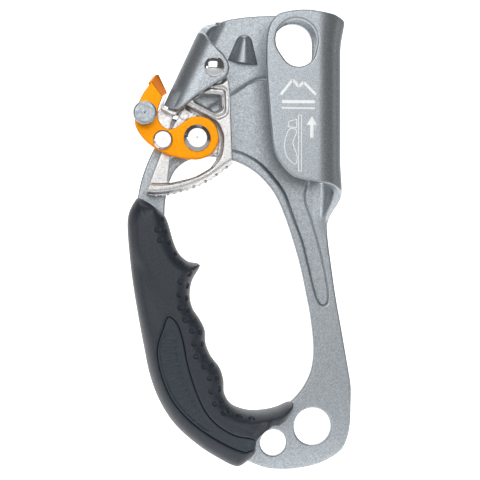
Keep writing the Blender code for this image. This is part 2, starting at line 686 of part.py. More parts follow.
# ---------------------------------------------------------------- grip
def grip_outline():
    return spline([(-72.7, -53.0), (-74.9, -55.2), (-76.9, -59.6), (-77.4, -65.0),
                   (-76.4, -78.0), (-75.0, -89.5), (-72.8, -102.8), (-70.5, -115.2),
                   (-68.1, -126.6), (-64.3, -136.9), (-58.0, -146.8), (-48.7, -155.4),
                   (-39.4, -161.5), (-32.2, -164.8), (-28.4, -163.2), (-24.1, -158.6),
                   (-24.2, -155.2), (-22.5, -151.2), (-17.8, -148.3), (-14.2, -148.0),
                   (-9.3, -143.3), (-8.2, -139.2), (-9.6, -138.5), (-15.1, -140.7),
                   (-22.0, -141.9), (-28.2, -141.5), (-34.2, -138.9), (-37.1, -134.3),
                   (-37.5, -128.7), (-39.1, -123.6), (-42.7, -118.8), (-44.9, -113.4),
                   (-45.3, -107.9), (-47.4, -103.4), (-50.4, -98.7), (-51.5, -93.3),
                   (-50.5, -87.2), (-47.2, -81.2), (-48.2, -80.2), (-52.3, -79.3),
                   (-55.9, -76.2), (-58.2, -71.5), (-60.9, -62.5), (-62.9, -59.4)],
                  closed=True, steps=2)


def offset(loop, d):
    """Outline moved inward by d (points run clockwise or not; d is signed by area)."""
    area = sum(loop[i - 1][0] * loop[i][1] - loop[i][0] * loop[i - 1][1]
               for i in range(len(loop)))
    sign = 1.0 if area > 0 else -1.0
    out = []
    n = len(loop)
    for i, p in enumerate(loop):
        a = Vector(p) - Vector(loop[i - 1])
        b = Vector(loop[(i + 1) % n]) - Vector(p)
        t = (a.normalized() + b.normalized())
        t = t.normalized() if t.length > 1e-6 else a.normalized()
        out.append((p[0] - t.y * d * sign, p[1] + t.x * d * sign))
    return out


def spine():
    """Middle line of the grip."""
    return spline([(-67.0, -58.0), (-68.0, -70.0), (-64.0, -92.0), (-59.0, -113.0),
                   (-52.0, -131.0), (-41.0, -145.0), (-27.0, -152.5), (-20.0, -148.0)],
                  closed=False, steps=4)


def shrink(loop, d):
    """Outline drawn in towards the grip's middle line."""
    line = [Vector(p) for p in spine()]
    out = []
    for p in loop:
        p = Vector(p)
        best = None
        for a, b in zip(line, line[1:]):
            t = max(0.0, min(1.0, (p - a).dot(b - a) / (b - a).length_squared))
            q = a + (b - a) * t
            if best is None or (p - q).length < (p - best).length:
                best = q
        gap = (best - p).length
        out.append(tuple(p + (best - p) * min(d / gap, 0.7)))
    return out


def limb(grow):
    """The part of the sheet that runs through the grip, slightly enlarged."""
    outer = [(-73.2, -50.0), (-73.4, -68.0), (-70.5, -92.0), (-66.0, -118.0), (-60.0, -135.0),
             (-48.0, -149.5), (-33.0, -160.0), (-20.9, -165.5), (-10.0, -166.9)]
    inner = [(0.0, -133.5), (-5.0, -134.0), (-9.5, -138.5), (-17.0, -143.0), (-28.0, -145.0),
             (-39.0, -141.0), (-48.5, -131.0), (-55.0, -115.0), (-59.0, -95.0),
             (-61.5, -75.0), (-61.9, -57.0), (-60.4, -48.0)]
    o = spline(outer, closed=False, steps=3)
    i = spline(inner, closed=False, steps=3)
    return offset(o + i, -grow)


def inlay_outline():
    return spline([(-60.9, -102.0), (-63.0, -107.0), (-64.9, -112.5), (-65.3, -118.0),
                   (-63.2, -127.1), (-58.7, -136.9), (-51.1, -145.3), (-40.5, -152.7),
                   (-29.5, -157.6), (-25.4, -156.2), (-25.2, -152.9), (-33.2, -151.0),
                   (-40.5, -146.8), (-45.8, -140.8), (-50.3, -130.9), (-53.4, -120.3),
                   (-55.1, -111.4), (-57.6, -104.5)], steps=2)


def build_grip():
    loop = grip_outline()
    bm = bmesh.new()
    levels = [(GRIP_FRONT, 3.6), (GRIP_FRONT + 1.2, 1.6), (GRIP_FRONT + 4.0, 0.3), (5.0, 0.0),
              (12.6, 0.0), (GRIP_BACK - 4.0, 0.3), (GRIP_BACK - 1.2, 1.6), (GRIP_BACK, 3.6)]
    rings = [[bm.verts.new((p[0], y, p[1])) for p in shrink(loop, d)] for y, d in levels]
    n = len(loop)
    for a, b in zip(rings, rings[1:]):
        for k in range(n):
            j = (k + 1) % n
            bm.faces.new((a[k], a[j], b[j], b[k]))
    bm.faces.new(rings[0])
    bm.faces.new(rings[-1])
    bmesh.ops.recalc_face_normals(bm, faces=bm.faces[:])
    obj = make("grip", bm)
    seat = offset(inlay_outline(), -0.15)
    combine(obj, [prism([limb(0.4)], BACK_IN - 0.1, BACK_OUT + 0.1),
                  prism([seat], GRIP_FRONT - 1, GRIP_FRONT + 1.35),
                  prism([seat], GRIP_BACK - 1.35, GRIP_BACK + 1)])
    finish(obj, "grip_rubber")


def build_inlays():
    body = inlay_outline()
    face = offset(body, 0.5)
    front = tapered(face, GRIP_FRONT + 0.1, body, GRIP_FRONT + 1.2)
    finish(make("inlay_front", front), "inlay_plastic")
    back = tapered(body, GRIP_BACK - 1.2, face, GRIP_BACK - 0.1)
    finish(make("inlay_back", back), "inlay_plastic")


def main():
    build_frame()
    build_cam()
    build_axles()
    build_springs()
    build_lever()
    build_catch()
    build_lever_parts()
    build_grip()
    build_inlays()


main()
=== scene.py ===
"""Handled rope ascender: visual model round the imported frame.

Lengths in this file are millimetres in the row frame; they are scaled when a mesh is made.
Solids are built from outlines in the XZ plane with a front (low y) and a back (high y).
"""
import math

import bmesh
import bpy
import numpy as np
from mathutils import Matrix, Vector
from mathutils.geometry import delaunay_2d_cdt


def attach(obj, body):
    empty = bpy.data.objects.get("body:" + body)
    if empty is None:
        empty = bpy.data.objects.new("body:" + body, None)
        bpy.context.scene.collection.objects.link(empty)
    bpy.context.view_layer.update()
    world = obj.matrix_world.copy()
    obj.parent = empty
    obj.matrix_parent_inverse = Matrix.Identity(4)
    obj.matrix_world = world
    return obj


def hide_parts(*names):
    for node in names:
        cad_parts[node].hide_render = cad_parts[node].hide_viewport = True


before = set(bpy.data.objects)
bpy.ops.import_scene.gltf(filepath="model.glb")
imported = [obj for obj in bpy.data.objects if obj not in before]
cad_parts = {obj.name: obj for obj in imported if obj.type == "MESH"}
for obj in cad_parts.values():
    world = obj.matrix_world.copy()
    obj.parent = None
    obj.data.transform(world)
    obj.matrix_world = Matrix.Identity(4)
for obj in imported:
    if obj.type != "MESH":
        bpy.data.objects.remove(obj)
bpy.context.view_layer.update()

MM = 0.001

# frame sheet
SHEET = 3.6
EDGE = 0.7
ROPE_R = 7.0
BACK_IN = ROPE_R
BACK_OUT = ROPE_R + SHEET
ROPE_MID = ROPE_R + SHEET / 2
SHELL_R = 6.0
SHELL_MID = SHELL_R + SHEET / 2
SHELL_AXIS_Y = BACK_IN - SHELL_R
SHELL_START = 40.8
SHELL_N = Vector((-0.906, 0.423))
SHELL_D = Vector((-0.423, -0.906))
FLAP_IN = SHELL_AXIS_Y - SHELL_R
FLAP_OUT = FLAP_IN - SHEET
PRESS = 1.2
WALL_HEAD = 2.8
WALL_FOOT = 1.3
WALL_RIGHT = 1.2
MOUTH_TOP = 2.2
MOUTH_LOW = 0.6
ROOM_R = 20.6
ROOM_FAR = 40.0
BRIM_TOP = 28.6
BRIM_FULL = 34.85

PIVOT = (-42.5, 0.0)
LEVER = (-49.2, -28.8)
KNOB = (-70.7, -19.4)
STUD = (-63.2, -29.7)
MAIN_HOLE = (0.1, -148.8, 7.85)
SMALL_HOLE = (-16.5, -155.4, 5.5)

CAM_FRONT = -4.6
CAM_BACK = 6.0
CAM_FLOOR = -1.1
STRUT_FACE = 1.0
HUB_FRONT = -2.4
HUB_BACK = 4.4
HUB_R = 6.4
LEVER_FRONT = -3.9
LEVER_BACK = -1.4
TOOTH_PITCH = 2.6
GRIP_FRONT = -4.2
GRIP_BACK = 21.0
GRIP_MID = 8.8
GRIP_ROUND = 7.0
GRIP_RISE = 13.0
HOLLOW = 1.7
DIMPLE_R = 1.25
DIMPLE_DEEP = 0.8
RIB_PITCH = 2.7

# stage, in metres
FLOOR = -0.1669
FLOOR_END = 0.30
SWEEP = 0.55
MIDDLE = (-0.031, 0.0, -0.07)


# plane curves
def spline(points, closed=True, steps=8):
    """Smooth curve through the points, even where they are unevenly spaced."""
    n = len(points)
    out = []
    for i in range(n if closed else n - 1):
        at = [(i + k) % n if closed else min(max(i + k, 0), n - 1) for k in (-1, 0, 1, 2)]
        p0, p1, p2, p3 = [Vector(points[j]) for j in at]
        gap = (p2 - p1).length
        m1 = (p2 - p0) * (gap / max(gap + (p1 - p0).length, 1e-6))
        m2 = (p3 - p1) * (gap / max(gap + (p3 - p2).length, 1e-6))
        for k in range(steps):
            t = k / steps
            near = 2 * t ** 3 - 3 * t ** 2 + 1
            leave = t ** 3 - 2 * t ** 2 + t
            arrive = t ** 3 - t ** 2
            out.append(tuple(p1 * near + m1 * leave + p2 * (1 - near) + m2 * arrive))
    if not closed:
        out.append(tuple(points[-1]))
    return out


def rounded(corners, seg=7):
    """Polygon whose corners (x, z, radius) are turned into arcs."""
    out = []
    n = len(corners)
    for i, (x, z, r) in enumerate(corners):
        p = Vector((x, z))
        a = Vector(corners[i - 1][:2]) - p
        b = Vector(corners[(i + 1) % n][:2]) - p
        if r <= 0:
            out.append((x, z))
            continue
        half = a.angle(b) / 2
        cut = min(r / math.tan(half), 0.48 * a.length, 0.48 * b.length)
        r = cut * math.tan(half)
        centre = p + (a.normalized() + b.normalized()).normalized() * (r / math.sin(half))
        start = p + a.normalized() * cut - centre
        sweep = start.angle_signed(p + b.normalized() * cut - centre)
        for k in range(seg + 1):
            out.append(tuple(centre + Matrix.Rotation(-sweep * k / seg, 2) @ start))
    return out


def circle(cx, cz, r, n=48, start=0.0):
    return [(cx + r * math.cos(start + 2 * math.pi * k / n),
             cz + r * math.sin(start + 2 * math.pi * k / n)) for k in range(n)]


def resample(loop, step, closed=True):
    """Points along the outline about a step apart, keeping the outline's own corners."""
    out = []
    n = len(loop)
    for i in range(n if closed else n - 1):
        a = Vector(loop[i])
        b = Vector(loop[(i + 1) % n])
        k = max(1, int(round((b - a).length / step)))
        for j in range(k):
            out.append(tuple(a.lerp(b, j / k)))
    if not closed:
        out.append(tuple(loop[-1]))
    return out


def tidy(loop, least=0.05):
    """The outline without points that nearly coincide."""
    out = []
    for p in loop:
        if not out or (Vector(p) - Vector(out[-1])).length > least:
            out.append(tuple(p))
    if (Vector(out[0]) - Vector(out[-1])).length <= least:
        out.pop()
    return out


def area(loop):
    p = np.array(loop)
    q = np.roll(p, -1, axis=0)
    return float(np.sum(p[:, 0] * q[:, 1] - q[:, 0] * p[:, 1]) / 2)


def normals(loop):
    """Unit normals to the left of the way round."""
    p = np.array(loop)
    a = p - np.roll(p, 1, axis=0)
    b = np.roll(p, -1, axis=0) - p
    a /= np.maximum(np.linalg.norm(a, axis=1, keepdims=True), 1e-9)
    b /= np.maximum(np.linalg.norm(b, axis=1, keepdims=True), 1e-9)
    t = a + b
    t /= np.maximum(np.linalg.norm(t, axis=1, keepdims=True), 1e-9)
    return np.stack([-t[:, 1], t[:, 0]], axis=1)


def inset(loop, d):
    """Outline moved into its own area by d."""
    sign = 1.0 if area(loop) > 0 else -1.0
    return [tuple(q) for q in np.array(loop) + normals(loop) * d * sign]


def inside(points, loop):
    """Mask of the points that the outline encloses."""
    x, z = points[:, 0], points[:, 1]
    out = np.zeros(len(points), bool)
    p = np.array(loop)
    q = np.roll(p, -1, axis=0)
    for (x0, z0), (x1, z1) in zip(p, q):
        if z0 == z1:
            continue
        hit = (z0 > z) != (z1 > z)
        out ^= hit & (x < (x1 - x0) * (z - z0) / (z1 - z0) + x0)
    return out


def near_line(points, line):
    """Distance to an open line."""
    line = np.array(line)
    best = np.full(len(points), 1e9)
    for a, b in zip(line, line[1:]):
        ab = b - a
        t = np.clip(((points - a) @ ab) / max(float(ab @ ab), 1e-12), 0, 1)
        best = np.minimum(best, np.linalg.norm(points - (a + t[:, None] * ab), axis=1))
    return best


def depth(points, loop):
    """Distance to the outline, positive inside it."""
    best = near_line(points, [*loop, loop[0]])
    return np.where(inside(points, loop), best, -best)


def ease(t):
    t = np.clip(t, 0.0, 1.0)
    return t * t * (3 - 2 * t)


def disc(points, centre, r, soft):
    """1 inside the circle, fading to 0 at its edge."""
    return ease((r - np.linalg.norm(points - np.array(centre), axis=1)) / soft)


# solids from outlines
def scatter(outer, holes, spacing, creases):
    """Points inside the outline: a grid of triangles and the crease lines."""
    extra = [q for line in creases for q in line]
    if spacing:
        lo, hi = np.min(outer, axis=0), np.max(outer, axis=0)
        rows = np.arange(lo[1], hi[1], spacing * 0.87)
        extra = [(x + (j % 2) * spacing / 2, z) for j, z in enumerate(rows)
                 for x in np.arange(lo[0], hi[0], spacing)] + extra
    if not extra:
        return []
    e = np.array(extra)
    e = e[inside(e, outer)]
    for hole in holes:
        e = e[~inside(e, hole)]
    near = np.array([q for loop in [outer] + holes for q in loop])
    gap = 0.33 * (spacing or 1.0)
    return [tuple(q) for q in e if np.min(np.abs(near - q).max(axis=1)) > gap]


def fill(outer, holes, spacing, creases):
    """Triangles over the outline: points, triangles and the indices of each boundary loop."""
    pts = []
    edges = []
    loops = []
    for loop in [outer] + holes:
        ids = list(range(len(pts), len(pts) + len(loop)))
        pts += list(loop)
        loops.append(ids)
        edges += zip(ids, ids[1:] + ids[:1])
    pts += scatter(outer, holes, spacing, creases)
    got, _, faces, orig, _, _ = delaunay_2d_cdt([Vector(q) for q in pts], edges, [], 0, 1e-5)
    back = {j: i for i, ids in enumerate(orig) for j in ids}
    got = np.array([tuple(v) for v in got])
    tri = np.array([f for f in faces if len(f) == 3])
    mid = got[tri].mean(axis=1)
    keep = inside(mid, outer)
    for hole in holes:
        keep &= ~inside(mid, hole)
    return got, tri[keep], [[back[i] for i in ids] for ids in loops]


def loft(rings, closed=True):
    """Four-sided faces between neighbouring rings of indices."""
    faces = []
    for a, b in zip(rings, rings[1:]):
        for k in range(len(a) if closed else len(a) - 1):
            j = (k + 1) % len(a)
            faces.append((a[k], a[j], b[j], b[k]))
    return faces


def numbered(rings):
    """All points of the rings in one list, and each ring as indices into it."""
    verts = []
    ids = []
    for ring in rings:
        ids.append(list(range(len(verts), len(verts) + len(ring))))
        verts += ring
    return verts, ids


def shape(name, verts, faces, sharp_at=None, weld=0.0):
    """Mesh object from points in millimetres and faces, with its normals outwards."""
    bm = bmesh.new()
    made = [bm.verts.new(v) for v in verts]
    for f in faces:
        try:
            bm.faces.new([made[i] for i in f])
        except ValueError:
            continue
    if weld:
        bmesh.ops.remove_doubles(bm, verts=bm.verts[:], dist=weld)
    loose = [v for v in bm.verts if not v.link_faces]
    bmesh.ops.delete(bm, geom=loose, context="VERTS")
    bmesh.ops.recalc_face_normals(bm, faces=bm.faces[:])
    obj = make(name, bm)
    return sharp(obj, sharp_at) if sharp_at else obj


def body(name, pts, tri, faces_y, walls, bend=None):
    """Closed body: one set of triangles at two heights, with rings of points between them."""
    n = len(pts)
    verts = [(p[0], y, p[1]) for heights in faces_y for p, y in zip(pts, heights)]
    faces = [tuple(t) for t in tri] + [tuple(n + i for i in reversed(t)) for t in tri]
    for ids, between in walls:
        rings = [list(ids)]
        for ring in between:
            rings.append(list(range(len(verts), len(verts) + len(ring))))
            verts += ring
        faces += loft(rings + [[n + i for i in ids]])
    if bend:
        verts = [bend(v) for v in verts]
    return shape(name, verts, faces)


def raised(ring, heights):
    return [(q[0], y, q[1]) for q, y in zip(ring, heights)]


def solid(name, outer, holes, front, back, edge=0.3, seg=3, spacing=None, creases=(),
          bend=None):
    """Plate with rounded edges; front and back are heights or functions of the points."""
    outer = tidy(outer)
    holes = [tidy(h) for h in holes]
    caps = [inset(outer, edge)] + [inset(h, -edge) for h in holes]
    pts, tri, loops = fill(caps[0], caps[1:], spacing, creases)
    yf, yb = [f(pts) if callable(f) else np.full(len(pts), float(f)) for f in (front, back)]
    turns = [math.pi / 2 * k / seg for k in range(1, seg + 1)]
    walls = []
    for which, (loop, ids) in enumerate(zip([outer] + holes, loops)):
        out = normals(loop) * math.copysign(1.0, area(loop)) * (-1.0 if which else 1.0)
        rings = []
        for turn, y, sign in [(t, yf, 1) for t in turns] + [(t, yb, -1) for t in turns[::-1]]:
            q = np.array(loop) + out * edge * (1 - math.sin(turn))
            rings.append(raised(q, y[ids] + sign * edge * (1 - math.cos(turn))))
        walls.append((ids, rings))
    return body(name, pts, tri, (yf, yb), walls, bend)


def make(name, bm):
    """Mesh object in metres from a bmesh in millimetres."""
    mesh = bpy.data.meshes.new(name)
    bmesh.ops.scale(bm, vec=(MM, MM, MM), verts=bm.verts[:])
    for f in bm.faces:
        f.smooth = True
    bm.to_mesh(mesh)
    bm.free()
    return place(name, mesh)


def place(name, data):
    """New object in the scene."""
    obj = bpy.data.objects.new(name, data)
    bpy.context.scene.collection.objects.link(obj)
    return obj


def flat_normals(obj):
    """Flat areas shade flat up to their rounded edges."""
    mod = obj.modifiers.new("flat areas", "WEIGHTED_NORMAL")
    mod.keep_sharp = True
    return obj


def sharp(obj, degrees=35):
    obj.data.set_sharp_from_angle(angle=math.radians(degrees))
    return obj


def lathe(name, profile, centre, n=64, sharp_at=35):
    """Solid turned about the line through centre along Y; profile is (radius, y)."""
    turned = [[(x, y, z) for x, z in (circle(*centre, r, n) if r else [centre])]
              for r, y in profile]
    verts, rings = numbered(turned)
    faces = []
    for a, b in zip(rings, rings[1:] + rings[:1]):
        for k in range(n if len(a) + len(b) > 2 else 0):
            j = (k + 1) % n
            corners = (a[k % len(a)], a[j % len(a)], b[j % len(b)], b[k % len(b)])
            faces.append(tuple(dict.fromkeys(corners)))
    return shape(name, verts, faces, sharp_at)


def cut(obj, tool, operation="DIFFERENCE"):
    """Exact boolean; the tool is used up."""
    mod = obj.modifiers.new("cut", "BOOLEAN")
    mod.operation = operation
    mod.solver = "EXACT"
    mod.object = tool
    done = obj.evaluated_get(bpy.context.evaluated_depsgraph_get())
    mesh = bpy.data.meshes.new_from_object(done)
    obj.modifiers.clear()
    obj.data = mesh
    bpy.data.objects.remove(tool)
    return obj


def join(obj, others):
    """Adds the meshes of the others to the object."""
    bm = bmesh.new()
    bm.from_mesh(obj.data)
    for other in others:
        bm.from_mesh(other.data)
        bpy.data.objects.remove(other)
    bm.to_mesh(obj.data)
    bm.free()
    return obj


def dress(obj, holder, material, nodes=()):
    """Gives the piece its body, material and the CAD nodes it stands for."""
    obj.data.materials.clear()
    obj.data.materials.append(material)
    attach(obj, holder)
    if nodes:
        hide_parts(*nodes)
    return obj


# materials
def noise(nt, scale, detail, rough):
    """Noise in object space; scale is in features per metre."""
    co = nt.nodes.new("ShaderNodeTexCoord")
    tex = nt.nodes.new("ShaderNodeTexNoise")
    for key, value in (("Scale", scale), ("Detail", detail), ("Roughness", rough)):
        tex.inputs[key].default_value = value
    nt.links.new(co.outputs["Object"], tex.inputs["Vector"])
    return tex.outputs["Fac"]


def ramp(nt, fac, low, high, at):
    node = nt.nodes.new("ShaderNodeValToRGB")
    for element, place_on, colour in zip(node.color_ramp.elements, at, (low, high)):
        element.position = place_on
        element.color = (*colour, 1)
    nt.links.new(fac, node.inputs["Fac"])
    return node.outputs["Color"]


def remap(nt, value, source, target):
    """Value carried from the range source to the range target."""
    node = nt.nodes.new("ShaderNodeMapRange")
    keys = ("From Min", "From Max", "To Min", "To Max")
    for key, number in zip(keys, (*source, *target)):
        node.inputs[key].default_value = number
    nt.links.new(value, node.inputs["Value"])
    return node.outputs["Result"]


def bump(nt, bsdf, fac, strength, distance):
    node = nt.nodes.new("ShaderNodeBump")
    node.inputs["Strength"].default_value = strength
    node.inputs["Distance"].default_value = distance
    nt.links.new(fac, node.inputs["Height"])
    nt.links.new(node.outputs["Normal"], bsdf.inputs["Normal"])


def grained(name, metallic, colours, rough, grain, at=(0.35, 0.65), relief=None):
    """Material whose colour, roughness and relief follow one fine noise."""
    m = bpy.data.materials.new(name)
    m.use_nodes = True
    nt = m.node_tree
    bsdf = nt.nodes["Principled BSDF"]
    bsdf.inputs["Base Color"].default_value = (*[sum(c) / 2 for c in zip(*colours)], 1)
    bsdf.inputs["Metallic"].default_value = metallic
    bsdf.inputs["Roughness"].default_value = sum(rough) / 2
    fac = noise(nt, *grain)
    nt.links.new(ramp(nt, fac, *colours, at), bsdf.inputs["Base Color"])
    nt.links.new(remap(nt, fac, (0.3, 0.7), rough), bsdf.inputs["Roughness"])
    if relief:
        bump(nt, bsdf, fac, *relief)
    return m


def metal_material(name, base, rough, contrast=0.12):
    low = tuple(c * (1 - contrast) for c in base)
    high = tuple(min(c * (1 + contrast), 1.0) for c in base)
    return grained(name, 1.0, (low, high), (rough * 1.25, rough * 0.8), (900.0, 2.0, 0.5))


def turned_material(name, base, rough):
    """Bright metal, slightly uneven from the lathe's tool."""
    low = tuple(c * 0.93 for c in base)
    return grained(name, 1.0, (low, base), (rough * 1.4, rough * 0.7), (2500.0, 2.0, 0.5))


def orange_material():
    """Anodised orange that stays orange at grazing angles."""
    m = grained("orange anodised", 0.7, ((0.87, 0.285, 0.006), (0.96, 0.335, 0.011)),
                (0.36, 0.28), (1500.0, 2.0, 0.5), relief=(0.06, 0.00002))
    tint = m.node_tree.nodes["Principled BSDF"].inputs["Specular Tint"]
    tint.default_value = (1.0, 0.42, 0.08, 1)
    return m


def plastic_material(name, low, high, rough):
    return grained(name, 0.0, (low, high), (rough * 1.1, rough * 0.9), (1300.0, 2.0, 0.5),
                   relief=(0.05, 0.00003))


PAINT = grained("frame paint", 0.88, ((0.27, 0.30, 0.33), (0.60, 0.64, 0.67)), (0.44, 0.30),
                (1900.0, 3.0, 0.7), at=(0.30, 0.72), relief=(0.25, 0.00004))
CAST = grained("cast steel", 1.0, ((0.47, 0.465, 0.46), (0.76, 0.75, 0.745)), (0.42, 0.26),
               (1100.0, 4.0, 0.65), at=(0.25, 0.55), relief=(0.25, 0.00008))
RUBBER = grained("grip rubber", 0.0, ((0.012, 0.017, 0.024), (0.024, 0.031, 0.042)),
                 (0.50, 0.36), (1500.0, 3.0, 0.6), at=(0.3, 0.7), relief=(0.12, 0.00004))
CHROME = turned_material("bright steel", (0.84, 0.84, 0.855), 0.10)
TURNED = turned_material("turned steel", (0.62, 0.62, 0.635), 0.14)
SATIN = metal_material("catch steel", (0.80, 0.79, 0.78), 0.34)
ORANGE = orange_material()
KNOB_GREY = metal_material("grey anodised", (0.42, 0.46, 0.49), 0.36)
INLAY = plastic_material("inlay plastic", (0.014, 0.022, 0.030), (0.020, 0.030, 0.040), 0.45)
INK = plastic_material("white ink", (0.80, 0.82, 0.83), (0.90, 0.91, 0.92), 0.55)
BRASS = metal_material("bush brass", (0.72, 0.55, 0.28), 0.30)
WIRE = metal_material("spring wire", (0.50, 0.50, 0.52), 0.30)
SHIM = plastic_material("shim plastic", (0.66, 0.65, 0.61), (0.72, 0.71, 0.67), 0.45)


# frame sheet
def to_shell(p):
    return tuple(SHELL_N * p[0] + SHELL_D * p[1])


def unrolled(x, z):
    """Where a place on the fold's front flap lies on the flat sheet, along N and D."""
    p = Vector((x, z))
    return (2 * SHELL_START + math.pi * SHELL_MID - p.dot(SHELL_N), p.dot(SHELL_D))


def shell_blank():
    """The cam side's fold, unrolled: (distance along N, distance along D)."""
    def bend(angle, s):
        return (SHELL_START + math.radians(angle) * SHELL_MID, s)

    return [
        bend(0, 41.0), bend(60, 41.2), bend(90, 41.2), bend(135, 41.0), bend(158, 39.6),
        unrolled(-50.1, -12.1), unrolled(-40.6, -5.8), unrolled(-38.0, -4.2),
        unrolled(-36.6, -2.0), unrolled(-36.4, 0.0), unrolled(-36.9, 2.2), unrolled(-38.3, 4.5),
        bend(178, 10.4), bend(154, 8.9), bend(135, 7.2), bend(112, 6.8), bend(90, 6.9),
        bend(60, 2.0), bend(28, -1.0)]


def frame_outline():
    main = [
        (-40.8, 20.2), (-35.4, 21.6), (-27.4, 22.8), (-18.0, 23.5), (-7.0, 23.4), (0.0, 22.6),
        (8.0, 20.1), (13.8, 19.5), (18.9, 20.7), (22.7, 22.0), (29.1, 23.3), (34.9, 23.5),
        (41.4, 22.5), (44.6, 21.2), (47.6, 17.1), (48.9, 10.0), (48.6, -4.2), (46.7, -26.9),
        (45.8, -33.3), (43.4, -38.5), (38.8, -43.7), (34.3, -45.6), (28.4, -46.6), (22.9, -47.9),
        (18.8, -50.0), (15.0, -51.4), (12.0, -54.6), (8.6, -58.6), (6.6, -62.2), (6.4, -65.6),
        (6.6, -70.2), (7.8, -79.4), (9.8, -93.4), (12.4, -108.2), (15.3, -124.9), (16.4, -132.0),
        (16.4, -139.0), (15.8, -150.0), (13.1, -157.8), (8.6, -161.6), (1.7, -164.7),
        (-7.0, -166.3), (-13.9, -166.5), (-20.9, -165.5), (-33.0, -160.0), (-48.0, -149.5),
        (-60.0, -135.0), (-66.0, -118.0), (-70.5, -92.0), (-73.4, -68.0), (-73.2, -54.0),
        (-71.4, -45.0), (-68.3, -36.6), (-65.0, -30.0)]
    lower = [
        (-62.9, -26.0), (-61.0, -22.6), to_shell((45.0, 43.0)), to_shell((41.6, 42.2)),
        to_shell((40.0, 42.0)), to_shell((40.0, 41.2))]
    flap = [to_shell(p) for p in shell_blank()]
    return spline(main, closed=False, steps=5) + lower + spline(flap, closed=False, steps=6)


def hand_opening():
    return spline([
        (-33.2, -37.4), (-26.9, -40.2), (-21.6, -44.2), (-16.2, -50.6), (-12.2, -58.7),
        (-8.2, -70.2), (-5.0, -81.4), (-2.6, -92.7), (-0.9, -101.5), (0.2, -110.0), (0.6, -117.4),
        (-0.2, -124.3), (-1.9, -129.0), (-5.0, -134.0), (-9.5, -138.5), (-17.0, -143.0),
        (-28.0, -145.0), (-39.0, -141.0), (-48.5, -131.0), (-55.0, -115.0), (-59.0, -95.0),
        (-61.5, -75.0), (-61.9, -57.0), (-60.4, -48.0), (-58.2, -42.6), (-55.4, -39.4),
        (-51.0, -37.0), (-42.0, -35.8)], steps=5)


def egg(x, z, r, x2, z2, r2, n=18):
    """Outline round two circles: the upper one (x, z, r) and a smaller one below it."""
    d = Vector((x2 - x, z2 - z))
    axis = math.atan2(d.y, d.x)
    spread = math.acos((r - r2) / d.length)
    wide = [(x + r * math.cos(a), z + r * math.sin(a))
            for a in (axis + spread + (2 * math.pi - 2 * spread) * k / (2 * n)
                      for k in range(2 * n + 1))]
    low = [(x2 + r2 * math.cos(a), z2 + r2 * math.sin(a))
           for a in (axis - spread + 2 * spread * k / n for k in range(n + 1))]
    return wide + low


def upper_hole(front):
    """The upper eye in the flap, unrolled, or in the back plate."""
    if front:
        return [(math.pi * ROPE_MID - x, z) for x, z in egg(-8.9, 11.1, 8.7, -8.2, 7.4, 7.2)]
    return egg(-8.2, 11.8, 8.2, -7.5, 7.0, 7.5)


def pressed_panel():
    return spline([
        (-43.0, -15.7), (-38.4, -13.2), (-34.4, -10.6), (-24.6, -4.4), (-18.8, -3.6), (-8.0, -4.6),
        (-4.0, -9.0), (-3.0, -25.0), (-2.6, -46.0), (-3.8, -52.6), (-0.9, -62.6), (2.3, -73.5),
        (4.7, -84.3), (6.1, -93.0), (5.6, -97.0), (3.4, -97.2), (1.3, -92.3), (-1.3, -81.5),
        (-4.1, -70.2), (-7.3, -61.5), (-10.9, -51.5), (-14.8, -45.5), (-20.8, -38.9),
        (-26.8, -34.9), (-33.2, -32.6), (-40.0, -31.5), (-44.5, -28.0), (-45.8, -21.0)], steps=5)


def wall_shape(p):
    """Width and curve of the pressed panel's wall: broad at its head, steep along the arm."""
    x, z = p[:, 0], p[:, 1]
    low = ease((-46 - z) / 42)
    wall = WALL_HEAD * (1 - low) + WALL_FOOT * low
    middle = -7.0 - (z + 50) * 0.223
    right = ease(x - middle) * ease((-40 - z) / 6)
    return wall * (1 - right) + WALL_RIGHT * right, 4.6 * (1 - right) + 1.15 * right


def mouth(z):
    """How much wider than round the rope channel is at a height."""
    flare = MOUTH_TOP * ease((z - 7) / 17)
    flare += MOUTH_LOW * ease((-38 - z) / 12) * ease((z + 60) / 8)
    return 1 + float(flare) / (ROPE_MID + SHEET / 2)


def fold_point(co):
    """Carry a point of the flat sheet (x, thickness from the inside, z) to its folded place."""
    x, t, z = co
    tt = t - SHEET / 2
    w = x * SHELL_N.x + z * SHELL_N.y
    s = x * SHELL_D.x + z * SHELL_D.y
    if w > SHELL_START and x < -30 and s < 41.7:
        a = (w - SHELL_START) / SHELL_MID
        r = SHELL_MID + tt
        if a <= math.pi:
            c = SHELL_START + r * math.sin(a)
            y = SHELL_AXIS_Y + r * math.cos(a)
        else:
            c = SHELL_START - (a - math.pi) * SHELL_MID
            y = SHELL_AXIS_Y - r
        p = SHELL_N * c + SHELL_D * s
        return (p.x, y, p.y)
    if x <= 0:
        return (x, BACK_IN + t, z)
    keep = float(ease((z + 68.0) / 8.0))
    if keep < 0.002:
        return (x, BACK_IN + t, z)
    rho = ROPE_MID / keep
    a = x / rho
    if a <= math.pi:
        out = (rho + tt) * math.sin(a)
        return (out * mouth(z), ROPE_MID - rho + (rho + tt) * math.cos(a), z)
    return (math.pi * rho - x, -(ROPE_MID + tt), z)


